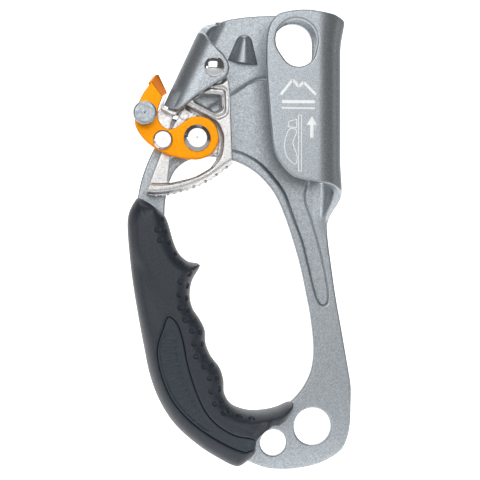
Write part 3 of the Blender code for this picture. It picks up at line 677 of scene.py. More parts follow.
def build_frame():
    panel = pressed_panel()

    def press(p):
        wall, curve = wall_shape(p)
        slide = np.clip((depth(p, panel) + wall) / wall, 0, 1)
        return PRESS * slide ** curve

    flap_pin = to_shell(unrolled(*PIVOT))
    holes = [
        resample(hand_opening(), 1.2), upper_hole(True), upper_hole(False), circle(*MAIN_HOLE, 60),
        circle(*SMALL_HOLE, 48), circle(*flap_pin, 3.45, 24), circle(*PIVOT, 3.45, 24)]
    lines = [resample(inset(panel, d), 0.7)
             for d in (-2.6, -1.8, -1.2, -0.8, -0.45, -0.2, 0.0, 0.15)]
    obj = solid("frame_sheet", resample(frame_outline(), 1.2), holes,
                press, lambda p: SHEET + press(p), edge=EDGE, seg=4,
                spacing=1.0, creases=lines, bend=fold_point)
    cut(obj, lever_room())
    join(obj, [nose(), fold_brim()])
    flat_normals(obj)
    return dress(obj, "frame", PAINT, ["frame_plate"])


def around_pivot(r, degrees):
    """Points on a circle about the cam's axle."""
    return [(PIVOT[0] + r * math.cos(math.radians(d)), PIVOT[1] + r * math.sin(math.radians(d)))
            for d in degrees]


def lever_room():
    """Room under the tip of the flap for the lever's bent end as the cam turns."""
    outline = around_pivot(ROOM_FAR, (180, 195, 210, 222, 232))
    outline += around_pivot(ROOM_R, range(232, 179, -4))
    return solid("room", outline, [], CAM_FRONT, BACK_IN - 0.02,
                 edge=0.01, seg=1)


def fold_brim():
    """The fold's front face carried out to its edge in front of the room for the lever."""
    skin = [(46.0, -7.0), (47.6, -6.32), (49.0, -5.6), (50.0, -4.95), (50.35, -4.66)]
    outer = SHELL_R + SHEET - 0.04
    rows = []
    for s in (BRIM_TOP, 29.8, 31.0, 32.0, 33.0, 34.0, BRIM_FULL, 36.4, 38.0, 39.6, 40.4, 40.8):
        out = float(ease((s - BRIM_TOP) / (BRIM_FULL - BRIM_TOP)))
        row = []
        for w, y in skin:
            on_fold = SHELL_AXIS_Y - math.sqrt(outer ** 2 - (w - SHELL_START) ** 2)
            row.append((w, y * out + (on_fold + 0.05) * (1 - out)))
        under = max(-4.64, row[-1][1] + 0.02)
        row += [(50.3, under), (46.4, under)]
        places = [to_shell((w, s)) for w, _ in row]
        rows.append([(x, y, z) for (x, z), (_, y) in zip(places, row)])
    verts, ids = numbered(rows)
    return shape("brim", verts, loft(ids) + [ids[0], ids[-1]], 50)


def nose():
    """Hood stamped out of the back plate: a narrow half cone that opens downwards."""
    apex = Vector((-28.6, 15.4))
    tip = 2.6
    left = Vector((-35.9, 4.6))
    right = Vector((-22.9, 2.6))
    rows, cols = 22, 24
    grid = []
    for i in range(rows + 1):
        t = i / rows
        round_off = math.sqrt(max(1 - (1 - min(t / 0.2, 1)) ** 2, 0))
        a = apex.lerp(left, t) + Vector((-tip * (1 - t), 0)) * round_off
        b = apex.lerp(right, t) + Vector((tip * (1 - t), 0)) * round_off
        row = []
        for j in range(cols + 1):
            p = a.lerp(b, j / cols)
            wave = max(1 - abs(2 * j / cols - 1) ** 1.7, 0) ** 0.8
            rise = (3.3 + 1.4 * t) * round_off * wave
            row.append((p.x, BACK_IN + 0.25 - rise, p.y - 0.5 * wave * t))
        grid.append(row)
    for inwards, deepest, up in ((1.5, 0.2, 0.35), (1.7, 0.25, 2.6)):
        grid.append([(x, min(y + inwards, BACK_IN + deepest), z + up)
                     for x, y, z in grid[rows]])
    verts, ids = numbered(grid)
    return shape("nose", verts, loft(ids, closed=False), 50, weld=0.01)


# cam
def cam_arc(steps):
    return spline([
        (-34.6, -39.5), (-37.6, -41.5), (-43.8, -45.9), (-51.3, -49.3), (-60.1, -51.7),
        (-66.4, -52.4), (-69.2, -51.9), (-69.8, -50.6)],
                  closed=False, steps=steps)


def cam_outline():
    return ([(-35.2, -22.4)] + cam_arc(10) + [(-63.7, -34.7), (-59.1, -24.2), (-54.9, -16.9),
            (-50.6, -8.4)] + around_pivot(HUB_R, range(205, -31, -5))
            + [(-36.2, -5.4), (-35.9, -8.9), (-35.5, -15.2)])


def cam_pocket():
    wall = spline([
        (-59.0, -11.5), (-52.4, -15.5), (-46.0, -18.9), (-40.8, -22.2), (-38.5, -26.8),
        (-38.2, -30.0), (-39.1, -35.7), (-41.6, -39.7), (-44.4, -41.9), (-50.3, -45.2),
        (-60.8, -47.9), (-70.5, -48.2)], closed=False, steps=8)
    return wall + [(-80, -48.2), (-80, -11.5)]


def cam_strut():
    return rounded([
        (-80, -14, 0), (-60.4, -14, 0), (-57.2, -18.5, 3), (-59.4, -24, 4), (-58.6, -36.0, 2),
        (-46, -37.5, 1), (-45.8, -42.4, 1), (-50.3, -45.1, 9), (-60.8, -47.8, 9), (-80, -48.1, 0)])


def cam_window_low():
    return rounded([
        (-59.9, -37.0, 1.5), (-56.0, -35.6, 2), (-49.2, -37.6, 7), (-43.6, -36.0, 2),
        (-40.9, -34.6, 0.8), (-40.6, -37.0, 2), (-43.6, -41.0, 6), (-50.5, -44.9, 15),
        (-61.0, -47.2, 1)])


def cam_window_up():
    return rounded([(-46.8, -10.6, 1), (-39.2, -11.0, 1), (-39.0, -16.6, 1.2),
                    (-41.8, -18.0, 1.2), (-50.3, -13.4, 0.6)])


def cam_rim():
    """Raised border of the upper window."""
    return rounded([(-44.0, -8.2, 1.5), (-37.6, -8.6, 1.8), (-37.2, -18.4, 2.0),
                    (-40.6, -20.2, 2.0), (-53.6, -13.9, 0.8)])


def build_cam():
    pocket = cam_pocket()
    strut = cam_strut()
    rim = cam_rim()
    up = cam_window_up()
    face = spline(cam_arc(10)[:-12], closed=False, steps=1)

    def front(p):
        y = np.full(len(p), CAM_FRONT)
        near = depth(p, rim)
        y += 0.9 * ease((near + 1.2) / 0.5) * ease((0.55 - near) / 0.5)
        hole = depth(p, up)
        y += 0.8 * ease((hole + 1.1) / 1.0)
        gap = np.full(len(p), 1e9)
        for q in face:
            gap = np.minimum(gap, np.linalg.norm(p - np.array(q), axis=1))
        y += 2.6 * ease((2.2 - gap) / 2.2) ** 1.3
        within = depth(p, pocket)
        low = ease((within + 0.1) / 0.6)
        y = y * (1 - low) + CAM_FLOOR * low
        ditch = ease((within - 0.2) / 0.3) * ease((1.85 - within) / 0.3)
        y += 4.2 * ditch * ease((p[:, 0] + 54.5) / 3.0) * ease((p[:, 1] + 41.0) / 4.0)
        deep = ease(depth(p, strut) / 0.7) * low
        y = y * (1 - deep) + STRUT_FACE * deep
        hub = disc(p, PIVOT, 7.3, 0.4)
        y = np.where(hub > 0, np.maximum(y, CAM_FRONT * (1 - hub) + HUB_FRONT * hub), y)
        well = disc(p, LEVER, 6.6, 0.3)
        return y + well * (0.6 - CAM_FLOOR)

    def back(p):
        y = np.full(len(p), CAM_BACK)
        hub = disc(p, PIVOT, 7.3, 0.4)
        y -= hub * (CAM_BACK - HUB_BACK)
        well = disc(p, LEVER, 4.9, 0.3)
        return y - well * (CAM_BACK - 4.7)

    lines = []
    for loop, ds in ((pocket, (-0.1, 0.15, 0.35, 0.52, 1.52, 1.85)), (strut, (0.0, 0.35, 0.75)),
                     (rim, (-1.25, -0.75, 0.0, 0.6)), (up, (-1.1, -0.7, -0.35))):
        lines += [resample(inset(loop, d), 0.4) for d in ds]
    lines += [circle(*PIVOT, r, 60) for r in (6.9, 7.1, 7.3)]
    lines += [circle(*LEVER, r, 60) for r in (4.6, 4.9, 6.3, 6.6)]
    obj = solid("cam_casting", resample(cam_outline(), 0.6), [resample(cam_window_low(), 0.6),
                resample(up, 0.6), circle(*PIVOT, 4.1, 40), circle(*LEVER, 3.05, 32)],
                front, back, edge=0.35, seg=3, spacing=0.7, creases=lines)
    join(obj, teeth() + [cam_ring()])
    return dress(obj, "cam", CAST, ["cam"])


def tooth(foot, along, out, y):
    """Blunt spike on the rope face."""
    rings = []
    for r, h in ((0.62, -0.5), (0.5, 0.05), (0.3, 0.32), (0.1, 0.42)):
        centre = foot + out * h
        rings.append([(*(centre + along * u), y + v) for u, v in circle(0, 0, r, 10)])
    verts, ids = numbered([[(x, y, z) for x, z, y in ring] for ring in rings])
    return shape("tooth", verts, loft(ids) + [ids[-1]])


def teeth():
    """Short spikes in staggered rows on the rope face."""
    arc = [Vector(p) for p in cam_arc(40)]
    out = []
    gone = 0.0
    row = 0
    for a, b in zip(arc, arc[1:]):
        gone += (b - a).length
        if gone < TOOTH_PITCH or a.x < -68.5:
            continue
        gone = 0.0
        row += 1
        along = (b - a).normalized()
        away = Vector((along.y, -along.x))
        if away.y > 0:
            away = -away
        out += [tooth(a, along, away, y)
                for y in ((-2.4, 0.6, 3.6) if row % 2 else (-0.9, 2.1, 4.8))]
    return out


def cam_ring():
    """Plain raised ring on the pocket's floor."""
    y = CAM_FLOOR - 0.22
    return lathe("ring", [
        (1.55, CAM_FLOOR + 0.3), (1.6, y + 0.1), (1.75, y), (2.0, y), (2.15, y + 0.1),
        (2.2, CAM_FLOOR + 0.3)], (-54.4, -19.3), 40)


# rivets and springs
def build_axles():
    y = FLAP_OUT
    head = [(0, y - 2.5)] + [(r, y - 2.5 + 2.35 * (1 - math.sqrt(1 - (r / 4.45) ** 2)))
                             for r in (0.6, 1.2, 1.8, 2.4, 2.9, 3.3, 3.7, 4.0)]
    head += [(4.15, y - 0.45), (4.15, y - 0.02)]
    foot = [(3.4, 1.2), (3.4, 1.7), (3.0, 2.1), (2.4, 2.2), (0, 2.2)]
    obj = lathe("cam_axle_turned", head + [(2.95, y - 0.02), (2.95, BACK_OUT + 0.02)]
                + [(r, BACK_OUT + h) for r, h in foot], PIVOT)
    dress(obj, "frame", CHROME, ["cam_axle"])
    ring = [(3.0, 0.05), (5.3, 0.05), (5.6, 0.3), (5.6, 0.9), (5.3, 1.2), (3.0, 1.2)]
    obj = lathe("washer_turned", [(r, BACK_OUT + h) for r, h in ring], PIVOT)
    dress(obj, "frame", CHROME, ["axle_washer"])
    rivet = [
        (0, -6.12), (0.2, -6.17), (0.35, -6.2), (0.5, -6.2), (3.6, -6.2), (3.9, -6.2), (4.1, -6.1),
        (5.35, -5.3), (5.5, -5.1), (5.5, -4.0), (2.95, -4.0), (2.95, 4.8), (4.5, 4.8), (4.5, 5.6),
        (4.1, 5.9), (0, 5.9)]
    obj = lathe("lever_rivet_turned", rivet, LEVER, 72, 20)
    dress(obj, "cam", TURNED, ["lever_rivet"])


def wire(name, path, r, n=12):
    """Round wire along the path."""
    pts = [Vector(p) for p in path]
    side = (pts[1] - pts[0]).orthogonal()
    rings = []
    for i, p in enumerate(pts):
        t = (pts[min(i + 1, len(pts) - 1)] - pts[max(i - 1, 0)]).normalized()
        side = (side - t * side.dot(t)).normalized()
        up = t.cross(side)
        rings.append([tuple(p + side * u + up * v) for u, v in circle(0, 0, r, n)])
    verts, ids = numbered(rings)
    return shape(name, verts, loft(ids) + [ids[0], ids[-1]])


def coil(centre, r, y0, pitch, a0, turns, steps=48):
    n = int(steps * turns)
    return [(centre[0] + r * math.cos(a0 + 2 * math.pi * turns * k / n),
             y0 + pitch * turns * k / n,
             centre[1] + r * math.sin(a0 + 2 * math.pi * turns * k / n)) for k in range(n + 1)]


def build_springs():
    ring = coil(PIVOT, 4.6, 4.85, 0.7, math.radians(-90), 1.53)
    path = [(-42.5, 4.85, -8.6), (-42.5, 4.85, -5.6)] + ring
    path += [(-42.9, 5.92, 6.0), (-42.6, 5.92, 10.5)]
    obj = wire("cam_spring_wire", path, 0.34)
    dress(obj, "frame", WIRE, ["cam_spring"])
    ring = coil(LEVER, 5.3, -0.15, 0.0, math.radians(-100), 0.72)
    obj = wire("lever_spring_wire", [(-49.2, -0.15, -35.2)] + ring, 0.38)
    dress(obj, "cam", WIRE, ["lever_spring"])


# lever and what it carries
TIP_A = Vector((-67.9, -5.6))
TIP_B = Vector((-63.5, -11.6))


def lever_outline():
    plate = spline([
        (-68.2, -6.6), (-71.0, -10.4), (-73.4, -15.4), (-74.6, -20.4), (-74.2, -24.2),
        (-71.9, -28.1), (-68.6, -31.4), (-64.8, -33.9), (-60.3, -35.9), (-55.9, -37.0),
        (-51.5, -37.5), (-47.8, -37.3), (-43.8, -35.6), (-41.2, -32.6), (-40.2, -28.6),
        (-41.3, -24.2), (-43.9, -21.2), (-47.8, -19.9), (-51.5, -20.3), (-54.4, -22.0),
        (-56.7, -23.8), (-58.8, -24.9), (-61.0, -25.1), (-63.2, -24.0), (-64.8, -21.6),
        (-65.3, -19.0), (-64.6, -15.6), (-63.2, -12.0)], closed=False, steps=8)
    return plate + [tuple(TIP_B), tuple(TIP_A.lerp(TIP_B, 0.5)), tuple(TIP_A)]


def tip_flange():
    """The lever's tip, bent back: a plate from the bend line to the rear edge."""
    front = LEVER_FRONT + 0.02
    edge = [Vector((TIP_A.x, front, TIP_A.y)), Vector((TIP_B.x, front, TIP_B.y))]
    rear = [Vector((-60.95, 5.2, -9.6)), Vector((-64.4, 5.2, -1.8)), Vector((-65.6, 5.2, -1.9))]
    outer = edge + rear
    normal = (edge[1] - edge[0]).cross(rear[0] - edge[1]).normalized()
    if normal.y > 0:
        normal = -normal
    bm = bmesh.new()
    skin = [bm.verts.new(p) for p in outer]
    under = [bm.verts.new(p - normal * 1.9) for p in outer]
    bm.faces.new(skin)
    bm.faces.new(list(reversed(under)))
    n = len(outer)
    for k in range(n):
        bm.faces.new((skin[k], skin[(k + 1) % n], under[(k + 1) % n], under[k]))
    bmesh.ops.recalc_face_normals(bm, faces=bm.faces[:])
    bmesh.ops.bevel(bm, geom=bm.edges[:], offset=0.32, segments=3, profile=0.5,
                    affect="EDGES")
    bmesh.ops.triangulate(bm, faces=[f for f in bm.faces if len(f.verts) > 4])
    return make("flange", bm)


def build_lever():
    obj = solid("lever_blank", resample(lever_outline(), 0.7),
                [circle(*LEVER, 4.0, 48), circle(*KNOB, 2.05, 24), circle(*STUD, 1.65, 24)],
                LEVER_FRONT, LEVER_BACK, edge=0.38, seg=4, spacing=1.0)
    join(obj, [tip_flange()])
    flat_normals(obj)
    dress(obj, "lever", ORANGE, ["lever"])


def build_catch():
    leaf = spline([
        (-62.9, -15.1), (-65.0, -17.8), (-65.9, -20.8), (-66.4, -25.0), (-65.6, -29.6),
        (-63.4, -31.9), (-60.9, -30.6), (-60.4, -26.0), (-59.6, -22.4), (-58.6, -18.95),
        (-61.0, -17.9), (-62.6, -16.3)], steps=8)
    obj = solid("catch_leaf", leaf, [circle(*STUD, 1.65, 24)], LEVER_BACK + 0.15,
                0.1, edge=0.3, seg=3, spacing=1.0)
    wall = rounded([
        (-61.9, -11.4, 0.2), (-63.3, -13.4, 1.5), (-63.9, -16.4, 1.2), (-60.6, -18.3, 0.6),
        (-57.6, -19.2, 0.2), (-57.5, -18.5, 0.2), (-60.5, -17.5, 0.6), (-62.9, -16.0, 0.6),
        (-62.6, -14.0, 1.0), (-61.6, -12.0, 0.2)], 5)
    rim = solid("rim", wall, [], -4.5, 0.05, edge=0.15, seg=3)
    lip = [to_shell(p) for p in ((50.8, 39.6), (50.8, 40.9), (50.3, 41.7), (47.0, 42.0),
                                 (44.5, 41.9), (44.4, 42.6), (47.0, 42.8), (50.4, 42.6),
                                 (51.5, 41.4), (51.6, 39.5))]
    edge = solid("lip", spline(lip, steps=4), [], -7.4, -2.0, edge=0.15,
                 seg=3)
    join(obj, [rim, edge])
    flat_normals(obj)
    dress(obj, "lever", SATIN, ["catch_plate"])


def build_lever_parts():
    y = LEVER_FRONT - 0.05
    stud = [
        (0, -6.34), (0.2, -6.4), (0.4, -6.4), (3.1, -6.4), (3.3, -6.4), (3.45, -6.34),
        (3.95, -5.75), (4.0, -5.6), (4.0, y), (1.6, y), (1.6, 0.15), (2.4, 0.15), (2.2, 0.75),
        (0, 0.75)]
    obj = lathe("catch_stud_turned", stud, STUD, 64, 25)
    dress(obj, "lever", TURNED, ["catch_stud"])
    knob = [
        (0, -14.0), (0.2, -14.05), (0.4, -14.16), (0.55, -14.2), (0.8, -14.2), (3.5, -14.2),
        (3.8, -14.2), (4.2, -14.1), (4.6, -13.75), (4.7, -13.5), (4.7, -12.4), (4.6, -12.15),
        (4.25, -11.8), (4.15, -11.5), (4.15, -5.0), (4.3, -4.6), (4.3, y), (2.0, y), (2.0, -1.1),
        (0, -1.1)]
    obj = lathe("thumb_knob_turned", knob, KNOB, 72, 25)
    dress(obj, "lever", KNOB_GREY, ["thumb_knob"])


# grip
def grip_outline():
    return spline([
        (-72.7, -53.0), (-74.9, -55.2), (-76.9, -59.6), (-77.4, -65.0), (-76.4, -78.0),
        (-75.0, -89.5), (-72.8, -102.8), (-70.5, -115.2), (-68.1, -126.6), (-64.3, -136.9),
        (-58.0, -146.8), (-48.7, -155.4), (-39.4, -161.5), (-32.2, -164.8), (-28.4, -163.2),
        (-24.1, -158.6), (-24.2, -155.2), (-22.5, -151.2), (-17.8, -148.3), (-14.2, -148.0),
        (-9.3, -143.3), (-8.2, -139.2), (-9.6, -138.5), (-15.1, -140.7), (-22.0, -141.9),
        (-28.2, -141.5), (-34.2, -138.9), (-37.1, -134.3), (-37.5, -128.7), (-39.1, -123.6),
        (-42.7, -118.8), (-44.9, -113.4), (-45.3, -107.9), (-47.4, -103.4), (-50.4, -98.7),
        (-51.5, -93.3), (-50.5, -87.2), (-47.2, -81.2), (-48.2, -80.2), (-52.3, -79.3),
        (-55.9, -76.2), (-58.2, -71.5), (-60.9, -62.5), (-62.9, -59.4)], steps=6)


def grip_spine():
    return spline([
        (-67.0, -58.0), (-68.0, -70.0), (-64.0, -92.0), (-59.0, -113.0), (-52.0, -131.0),
        (-41.0, -145.0), (-27.0, -152.5), (-20.0, -148.0)], closed=False, steps=6)


def inlay_outline():
    return spline([
        (-60.9, -102.0), (-63.0, -107.0), (-64.9, -112.5), (-65.3, -118.0), (-63.2, -127.1),
        (-58.7, -136.9), (-51.1, -145.3), (-40.5, -152.7), (-29.5, -157.6), (-25.4, -156.2),
        (-25.2, -152.9), (-33.2, -151.0), (-40.5, -146.8), (-45.8, -140.8), (-50.3, -130.9),
        (-53.4, -120.3), (-55.1, -111.4), (-57.6, -104.5)], steps=6)


def scoop_edge():
    """Where the hollow for the palm ends on the grip's faces."""
    return spline([
        (-74.6, -71.0), (-71.8, -76.6), (-68.6, -82.3), (-66.0, -87.4), (-64.3, -92.8),
        (-63.6, -97.4), (-63.4, -104.0), (-65.5, -112.0)], closed=False, steps=5)


GRIP_LOOP = resample(grip_outline(), 0.5)
GRIP_SPINE = grip_spine()
INLAY_LOOP = inlay_outline()
SCOOP = scoop_edge()
SCOOP_AREA = SCOOP + [(-90.0, -112.0), (-90.0, -71.0)]


def swell(p):
    """Height of the grip's face above its middle plane, from 0 at the outline to 1."""
    a = np.maximum(depth(p, GRIP_LOOP), 0)
    b = near_line(p, GRIP_SPINE)
    reach = np.minimum(GRIP_ROUND, 0.95 * (a + b))
    t = np.clip(a / np.maximum(reach, 1e-6), 0, 1)
    return (1 - (1 - t) ** 2.4) ** (1 / 2.4)


def grip_face(p):
    """Rise of the face in mm for a face of unit height, hollow for the palm included."""
    h = swell(p)
    along = ease((-71.0 - p[:, 1]) / 12.0) * ease((p[:, 1] + 112.0) / 26.0)
    hollow = ease((depth(p, SCOOP_AREA) + 0.6) / 4.8) * along
    return h * (GRIP_RISE - HOLLOW * hollow)


def grip_faces(sunk):
    """Front and back of the grip as functions, each lowered by sunk(points)."""
    def front(p):
        return GRIP_MID - grip_face(p) + sunk(p)

    def back(p):
        return GRIP_MID + grip_face(p) * (GRIP_BACK - GRIP_MID) / GRIP_RISE - sunk(p)

    return front, back


def march(line, pitch):
    """Points a pitch apart along an open line."""
    out = [Vector(line[0])]
    left = pitch
    for a, b in zip(line, line[1:]):
        a, b = Vector(a), Vector(b)
        while (b - a).length > left:
            a = a + (b - a).normalized() * left
            out.append(a.copy())
            left = pitch
        left -= (b - a).length
    return out


def dimple_places():
    """Rows of dimples along the finger side: one by the edge, one further in."""
    edge = spline([
        (-63.4, -61.9), (-60.3, -72.3), (-56.4, -79.0), (-51.9, -84.9), (-53.4, -91.0),
        (-52.9, -99.0), (-49.9, -104.0), (-47.4, -109.5), (-46.6, -117.0), (-42.9, -122.0),
        (-40.2, -129.5), (-39.0, -137.0), (-34.0, -142.2), (-26.4, -144.2)], closed=False, steps=8)
    top = spline([(-65.3, -66.2), (-63.9, -71.5)], closed=False, steps=2)
    inner = spline([
        (-55.9, -87.4), (-56.3, -94.0), (-55.3, -100.5), (-50.9, -108.0), (-49.5, -117.7),
        (-44.2, -125.4), (-42.4, -136.3), (-34.3, -144.9)], closed=False, steps=8)
    return march(edge, 5.1) + march(top, 4.4) + march(inner, 5.35)


def slope(p):
    """Slope of the front face at points: how fast y changes with x and with z."""
    e = 0.05
    front = grip_faces(lambda q: 0.0)[0]
    steps = [front(p + np.array(d)) - front(p - np.array(d)) for d in ((e, 0), (0, e))]
    return np.stack(steps, axis=1) / (2 * e)


def dimple_frames():
    """For each dimple: centre, downhill direction, direction across it, cosine of the tilt."""
    out = []
    centres = np.array([tuple(c) for c in dimple_places()])
    for c, g in zip(centres, slope(centres)):
        s = float(np.linalg.norm(g))
        down = g / s if s > 1e-6 else np.array((1.0, 0.0))
        out.append((c, down, np.array((-down[1], down[0])), 1 / math.sqrt(1 + s * s)))
    return out


def dimple_rings(frames):
    rows = []
    for c, down, across, tilt in frames:
        rows.append([tuple(c)])
        for r in (0.35, 0.6, 0.8, 0.95, 1.1, 1.3):
            n = 20
            rows.append([tuple(c + across * DIMPLE_R * r * math.cos(2 * math.pi * k / n)
                               + down * DIMPLE_R * r * tilt * math.sin(2 * math.pi * k / n))
                         for k in range(n)])
    return rows


def sink_dimples(obj, frames):
    """Presses the dimples into both faces, square to the surface."""
    mesh = obj.data
    co = np.empty(len(mesh.vertices) * 3)
    mesh.vertices.foreach_get("co", co)
    co = co.reshape(-1, 3) / MM
    flat = co[:, (0, 2)]
    rim = depth(flat, GRIP_LOOP)
    for c, down, across, tilt in frames:
        d = flat - c
        r = np.hypot(d @ across, (d @ down) / tilt) / DIMPLE_R
        push = DIMPLE_DEEP * ease((1.06 - r) / 0.3)
        hit = (push > 0) & (rim > 0.3)
        s = math.sqrt(max(1 - tilt * tilt, 0))
        side = np.where(co[:, 1] < GRIP_MID, 1.0, -1.0)
        co[hit, 1] += (push * tilt * side)[hit]
        co[hit, 0] -= (push * s * down[0])[hit]
        co[hit, 2] -= (push * s * down[1])[hit]
    mesh.vertices.foreach_set("co", (co * MM).ravel())
    mesh.update()


def drawn_in(loop, d):
    """Outline drawn in towards the grip's middle line."""
    line = [Vector(p) for p in GRIP_SPINE]
    out = []
    for p in loop:
        p = Vector(p)
        best = None
        for a, b in zip(line, line[1:]):
            t = max(0.0, min(1.0, (p - a).dot(b - a) / (b - a).length_squared))
            q = a + (b - a) * t
            if best is None or (p - q).length < (p - best).length:
                best = q
        gap = (best - p).length
        out.append(tuple(p + (best - p) * min(d / gap, 0.7)))
    return out


def build_grip():
    seat = INLAY_LOOP
    frames = dimple_frames()

    def recess(p):
        near = depth(p, seat)
        return 1.35 * ease((near + 0.28) / 0.18) + 0.4 * ease((near + 1.05) / 0.9)

    lines = [resample(inset(seat, d), 0.5) for d in (-1.05, -0.7, -0.45, -0.28, -0.1, 0.3)]
    lines += [drawn_in(GRIP_LOOP, d)[::2] for d in (1.15, 1.6, 2.1, 2.7, 3.4, 4.2, 5.1, 6.1)]
    lines += dimple_rings(frames)
    obj = moulded("grip_rubber", GRIP_LOOP, *grip_faces(recess), lines,
                  1.0)
    sink_dimples(obj, frames)
    dress(obj, "frame", RUBBER, ["grip"])


def moulded(name, loop, front, back, lines, spacing):
    """Closed body whose faces meet at the outline in a full round."""
    loops = [loop] + [drawn_in(loop, d) for d in (0.03, 0.1, 0.22, 0.4, 0.62, 0.9)]
    pts, tri, ids = fill(loops[-1], [], spacing, lines)
    rings = [raised(ring, face(np.array(ring)))
             for face, order in ((front, loops[-2::-1]), (back, loops[1:-1]))
             for ring in order]
    return body(name, pts, tri, (front(pts), back(pts)), [(ids[0], rings)])


def inlay_field():
    """Sunk part of the inlay, where its ribs stand."""
    return spline([
        (-62.0, -108.6), (-64.2, -113.0), (-64.3, -118.5), (-62.3, -126.9), (-57.9, -136.3),
        (-50.6, -144.3), (-44.4, -148.9), (-42.6, -148.2), (-43.2, -146.2), (-47.2, -140.9),
        (-51.6, -131.0), (-54.7, -120.4), (-56.5, -111.6), (-58.6, -108.0)], steps=6)


def inlay_ribs():
    """Short ribs across the inlay's sunk field."""
    middle = spline([(-60.6, -112.0), (-60.0, -119.5), (-57.7, -128.6), (-53.6, -137.0),
                     (-47.0, -145.0)], closed=False, steps=12)
    places = march(middle, RIB_PITCH)
    ribs = []
    for i, c in enumerate(places):
        ahead = places[min(i + 1, len(places) - 1)] - places[max(i - 1, 0)]
        t = ahead.normalized()
        w = Vector((-t.y, t.x))
        half = 2.3 - 1.3 * abs(i / (len(places) - 1) - 0.35) ** 1.2
        a, b = c - w * half, c + w * half
        ribs.append((a, b))
    return ribs


def build_inlays():
    field = inlay_field()
    ribs = inlay_ribs()

    def drop(p):
        """How far the inlay lies below the grip's face."""
        near = depth(p, field)
        out = 0.38 + 0.34 * ease((near + 0.15) / 0.45)
        for a, b in ribs:
            out -= 0.3 * ease((0.72 - near_line(p, [tuple(a), tuple(b)])) / 0.34)
        return out

    front, back = grip_faces(drop)
    lines = [resample(inset(field, d), 0.4) for d in (-0.2, 0.02, 0.3)]
    for a, b in ribs:
        w = (b - a).normalized()
        t = Vector((-w.y, w.x))
        for side in (-0.72, -0.52, -0.36, -0.12, 0.12, 0.36, 0.52, 0.72):
            lines.append(resample([tuple(a - w * 0.6 + t * side), tuple(b + w * 0.6 + t * side)],
                                  0.35, closed=False))
    outer = resample(inset(INLAY_LOOP, 0.12), 0.5)
    for name, f, b, node in (("inlay_front_plate", front, GRIP_FRONT + 1.3,
                              "inlay_front"),
                             ("inlay_back_plate", GRIP_BACK - 1.3, back,
                              "inlay_back")):
        obj = solid(name, outer, [], f, b, edge=0.22, seg=3, spacing=1.0, creases=lines)
        dress(obj, "frame", INLAY, [node])


# print on the rope flap
def mark(loop):
    y = -(ROPE_R + SHEET)
    return solid("mark", loop, [], y - 0.03, y + 0.02, edge=0.005, seg=1)


def stroke(a, b, width):
    a, b = Vector(a), Vector(b)
    t = (b - a).normalized()
    w = Vector((-t.y, t.x)) * width / 2
    r = width * 0.49
    return mark(rounded([(*(a + w), r), (*(a - w), r), (*(b - w), r), (*(b + w), r)], 4))


def polyline(points, width, closed=False):
    ends = points + points[:1] if closed else points
    return [stroke(a, b, width) for a, b in zip(ends, ends[1:])]


def build_print():
    """Plain marks: an arrow for the direction of use, a peak, bars and a simple symbol."""
    arrow = [
        (-3.5, -28.9), (-3.5, -23.6), (-4.9, -23.6), (-2.8, -20.0), (-0.7, -23.6), (-2.1, -23.6),
        (-2.1, -28.9)]
    marks = [mark(arrow)]
    peak = [(-15.6, -11.4), (-10.6, -5.2), (-8.2, -8.2), (-6.2, -6.2), (-1.0, -11.4)]
    marks += polyline(peak, 1.1)
    marks.append(stroke((-15.2, -14.2), (-1.4, -14.2), 1.3))
    marks.append(stroke((-15.2, -16.8), (-1.4, -16.8), 0.6))
    rope = [(-8.3, -19.6), (-7.1, -19.6), (-7.1, -42.4), (-8.3, -42.4)]
    marks += polyline(rope, 0.28, closed=True)
    hand = spline([
        (-9.0, -26.0), (-11.8, -25.2), (-13.6, -29.0), (-14.0, -33.0), (-12.6, -37.4),
        (-9.4, -39.6), (-8.9, -36.0), (-10.6, -31.0)], steps=3)
    marks += polyline(hand, 0.28, closed=True)
    bar = [(-9.0, -21.4), (-12.2, -22.2), (-12.6, -24.4), (-9.0, -24.8)]
    marks += polyline(bar, 0.28, closed=True)
    obj = marks.pop()
    join(obj, marks)
    obj.name = "flap_print"
    dress(obj, "frame", INK)


# CAD pieces that stay
def finish_small_pieces():
    looks = {"hub_shim_front": SHIM, "hub_shim_rear": SHIM, "cam_bush": BRASS,
             "lever_bush": BRASS, "knob_washer": SATIN}
    for name, material in looks.items():
        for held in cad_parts[name].material_slots:
            held.material = material


# stage
def combined(nt, operation, *values):
    """Result of one calculation on sockets and numbers."""
    node = nt.nodes.new("ShaderNodeMath")
    node.operation = operation
    for held, value in zip(node.inputs, values):
        if isinstance(value, float):
            held.default_value = value
        else:
            nt.links.new(value, held)
    return node.outputs[0]


def glow(material):
    """Light from the backdrop where it is the background, fading forwards and sideways."""
    nt = material.node_tree
    coords = nt.nodes.new("ShaderNodeTexCoord")
    where = nt.nodes.new("ShaderNodeSeparateXYZ")
    nt.links.new(coords.outputs["Object"], where.inputs["Vector"])
    away = combined(nt, "ABSOLUTE", combined(nt, "SUBTRACT", where.outputs["X"], 0.04))
    both = combined(nt, "MULTIPLY",
                    remap(nt, where.outputs["Y"], (-0.09, -0.015), (0.12, 1.0)),
                    remap(nt, away, (0.33, 0.55), (1.0, 0.12)))
    bsdf = nt.nodes["Principled BSDF"]
    nt.links.new(both, bsdf.inputs["Emission Strength"])
    bsdf.inputs["Emission Color"].default_value = (1, 1, 1, 1)


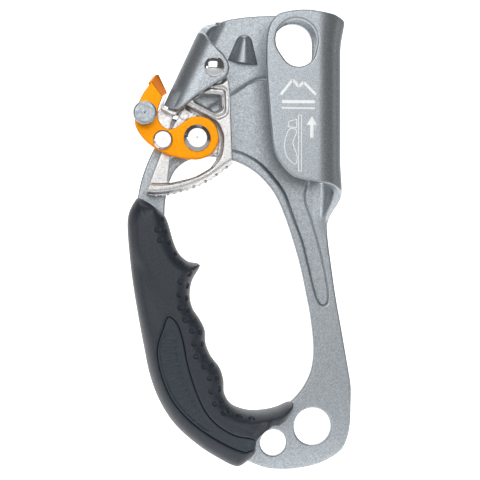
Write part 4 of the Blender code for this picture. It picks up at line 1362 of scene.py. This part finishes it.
def plain_floor():
    """Floor under the part, sweeping up behind it."""
    turns = [math.pi / 2 * k / 14 for k in range(1, 15)]
    profile = [(-2.6, FLOOR), (FLOOR_END, FLOOR)]
    profile += [(FLOOR_END + SWEEP * math.sin(a), FLOOR + SWEEP * (1 - math.cos(a)))
                for a in turns]
    profile.append((FLOOR_END + SWEEP, 1.9))
    verts, ids = numbered([[(x, y, z) for y, z in profile] for x in (-2.2, 2.2)])
    mesh = bpy.data.meshes.new("backdrop")
    mesh.from_pydata(verts, [], loft(ids, closed=False))
    mesh.shade_smooth()
    obj = place("backdrop", mesh)
    material = grained("backdrop", 0.0, ((0.53,) * 3, (0.55,) * 3), (0.9, 0.9),
                       (6.0, 1.0, 0.5))
    glow(material)
    mesh.materials.append(material)


def aimed(name, data, at, target):
    """Lamp or camera at a place, looking at the target."""
    obj = place(name, data)
    obj.location = at
    obj.rotation_euler = (Vector(target) - Vector(at)).to_track_quat("-Z", "Y").to_euler()
    return obj


def lamp(name, at, size, power, target=MIDDLE):
    data = bpy.data.lights.new(name, "AREA")
    data.shape = "RECTANGLE"
    data.size, data.size_y = size
    data.energy = power
    return aimed(name, data, at, target)


def build_stage():
    plain_floor()
    lamp("front_box", (-0.22, -1.2, 0.36), (1.25, 0.82), 5.8)
    fill_lamp = lamp("fill", (-0.1, -1.0, 0.3), (1.0, 1.0), 5.5)
    fill_lamp.visible_glossy = False
    lamp("left_strip", (-1.0, -0.85, -0.03), (0.22, 0.24), 1.2)
    lamp("left_edge", (-1.1, 0.10, -0.12), (0.35, 0.4), 0.8)
    lamp("top_box", (-0.05, -0.1, 0.9), (0.9, 0.5), 0.8)
    lamp("right_box", (0.95, 0.05, 0.1), (0.3, 0.8), 0.3)
    lamp("backdrop_wash", (0.0, 0.25, 1.2), (1.4, 0.4), 6, target=(0.0, 0.9, 0.2))
    world = bpy.data.worlds.new("studio")
    world.use_nodes = True
    shade = world.node_tree.nodes["Background"]
    shade.inputs["Color"].default_value = (1.0, 1.0, 1.0, 1.0)
    shade.inputs["Strength"].default_value = 0.10
    bpy.context.scene.world = world
    bpy.context.scene.view_settings.view_transform = "Standard"


def build_camera():
    data = bpy.data.cameras.new("camera")
    data.lens = 107.2
    data.sensor_width = 36.0
    bpy.context.scene.camera = aimed("camera", data, (-0.0867, -0.5874, -0.0705),
                                     (-0.0312, 0.0, -0.0705))


def main():
    build_frame()
    build_cam()
    build_axles()
    build_springs()
    build_lever()
    build_catch()
    build_lever_parts()
    build_grip()
    build_inlays()
    build_print()
    finish_small_pieces()
    build_stage()
    build_camera()


main()
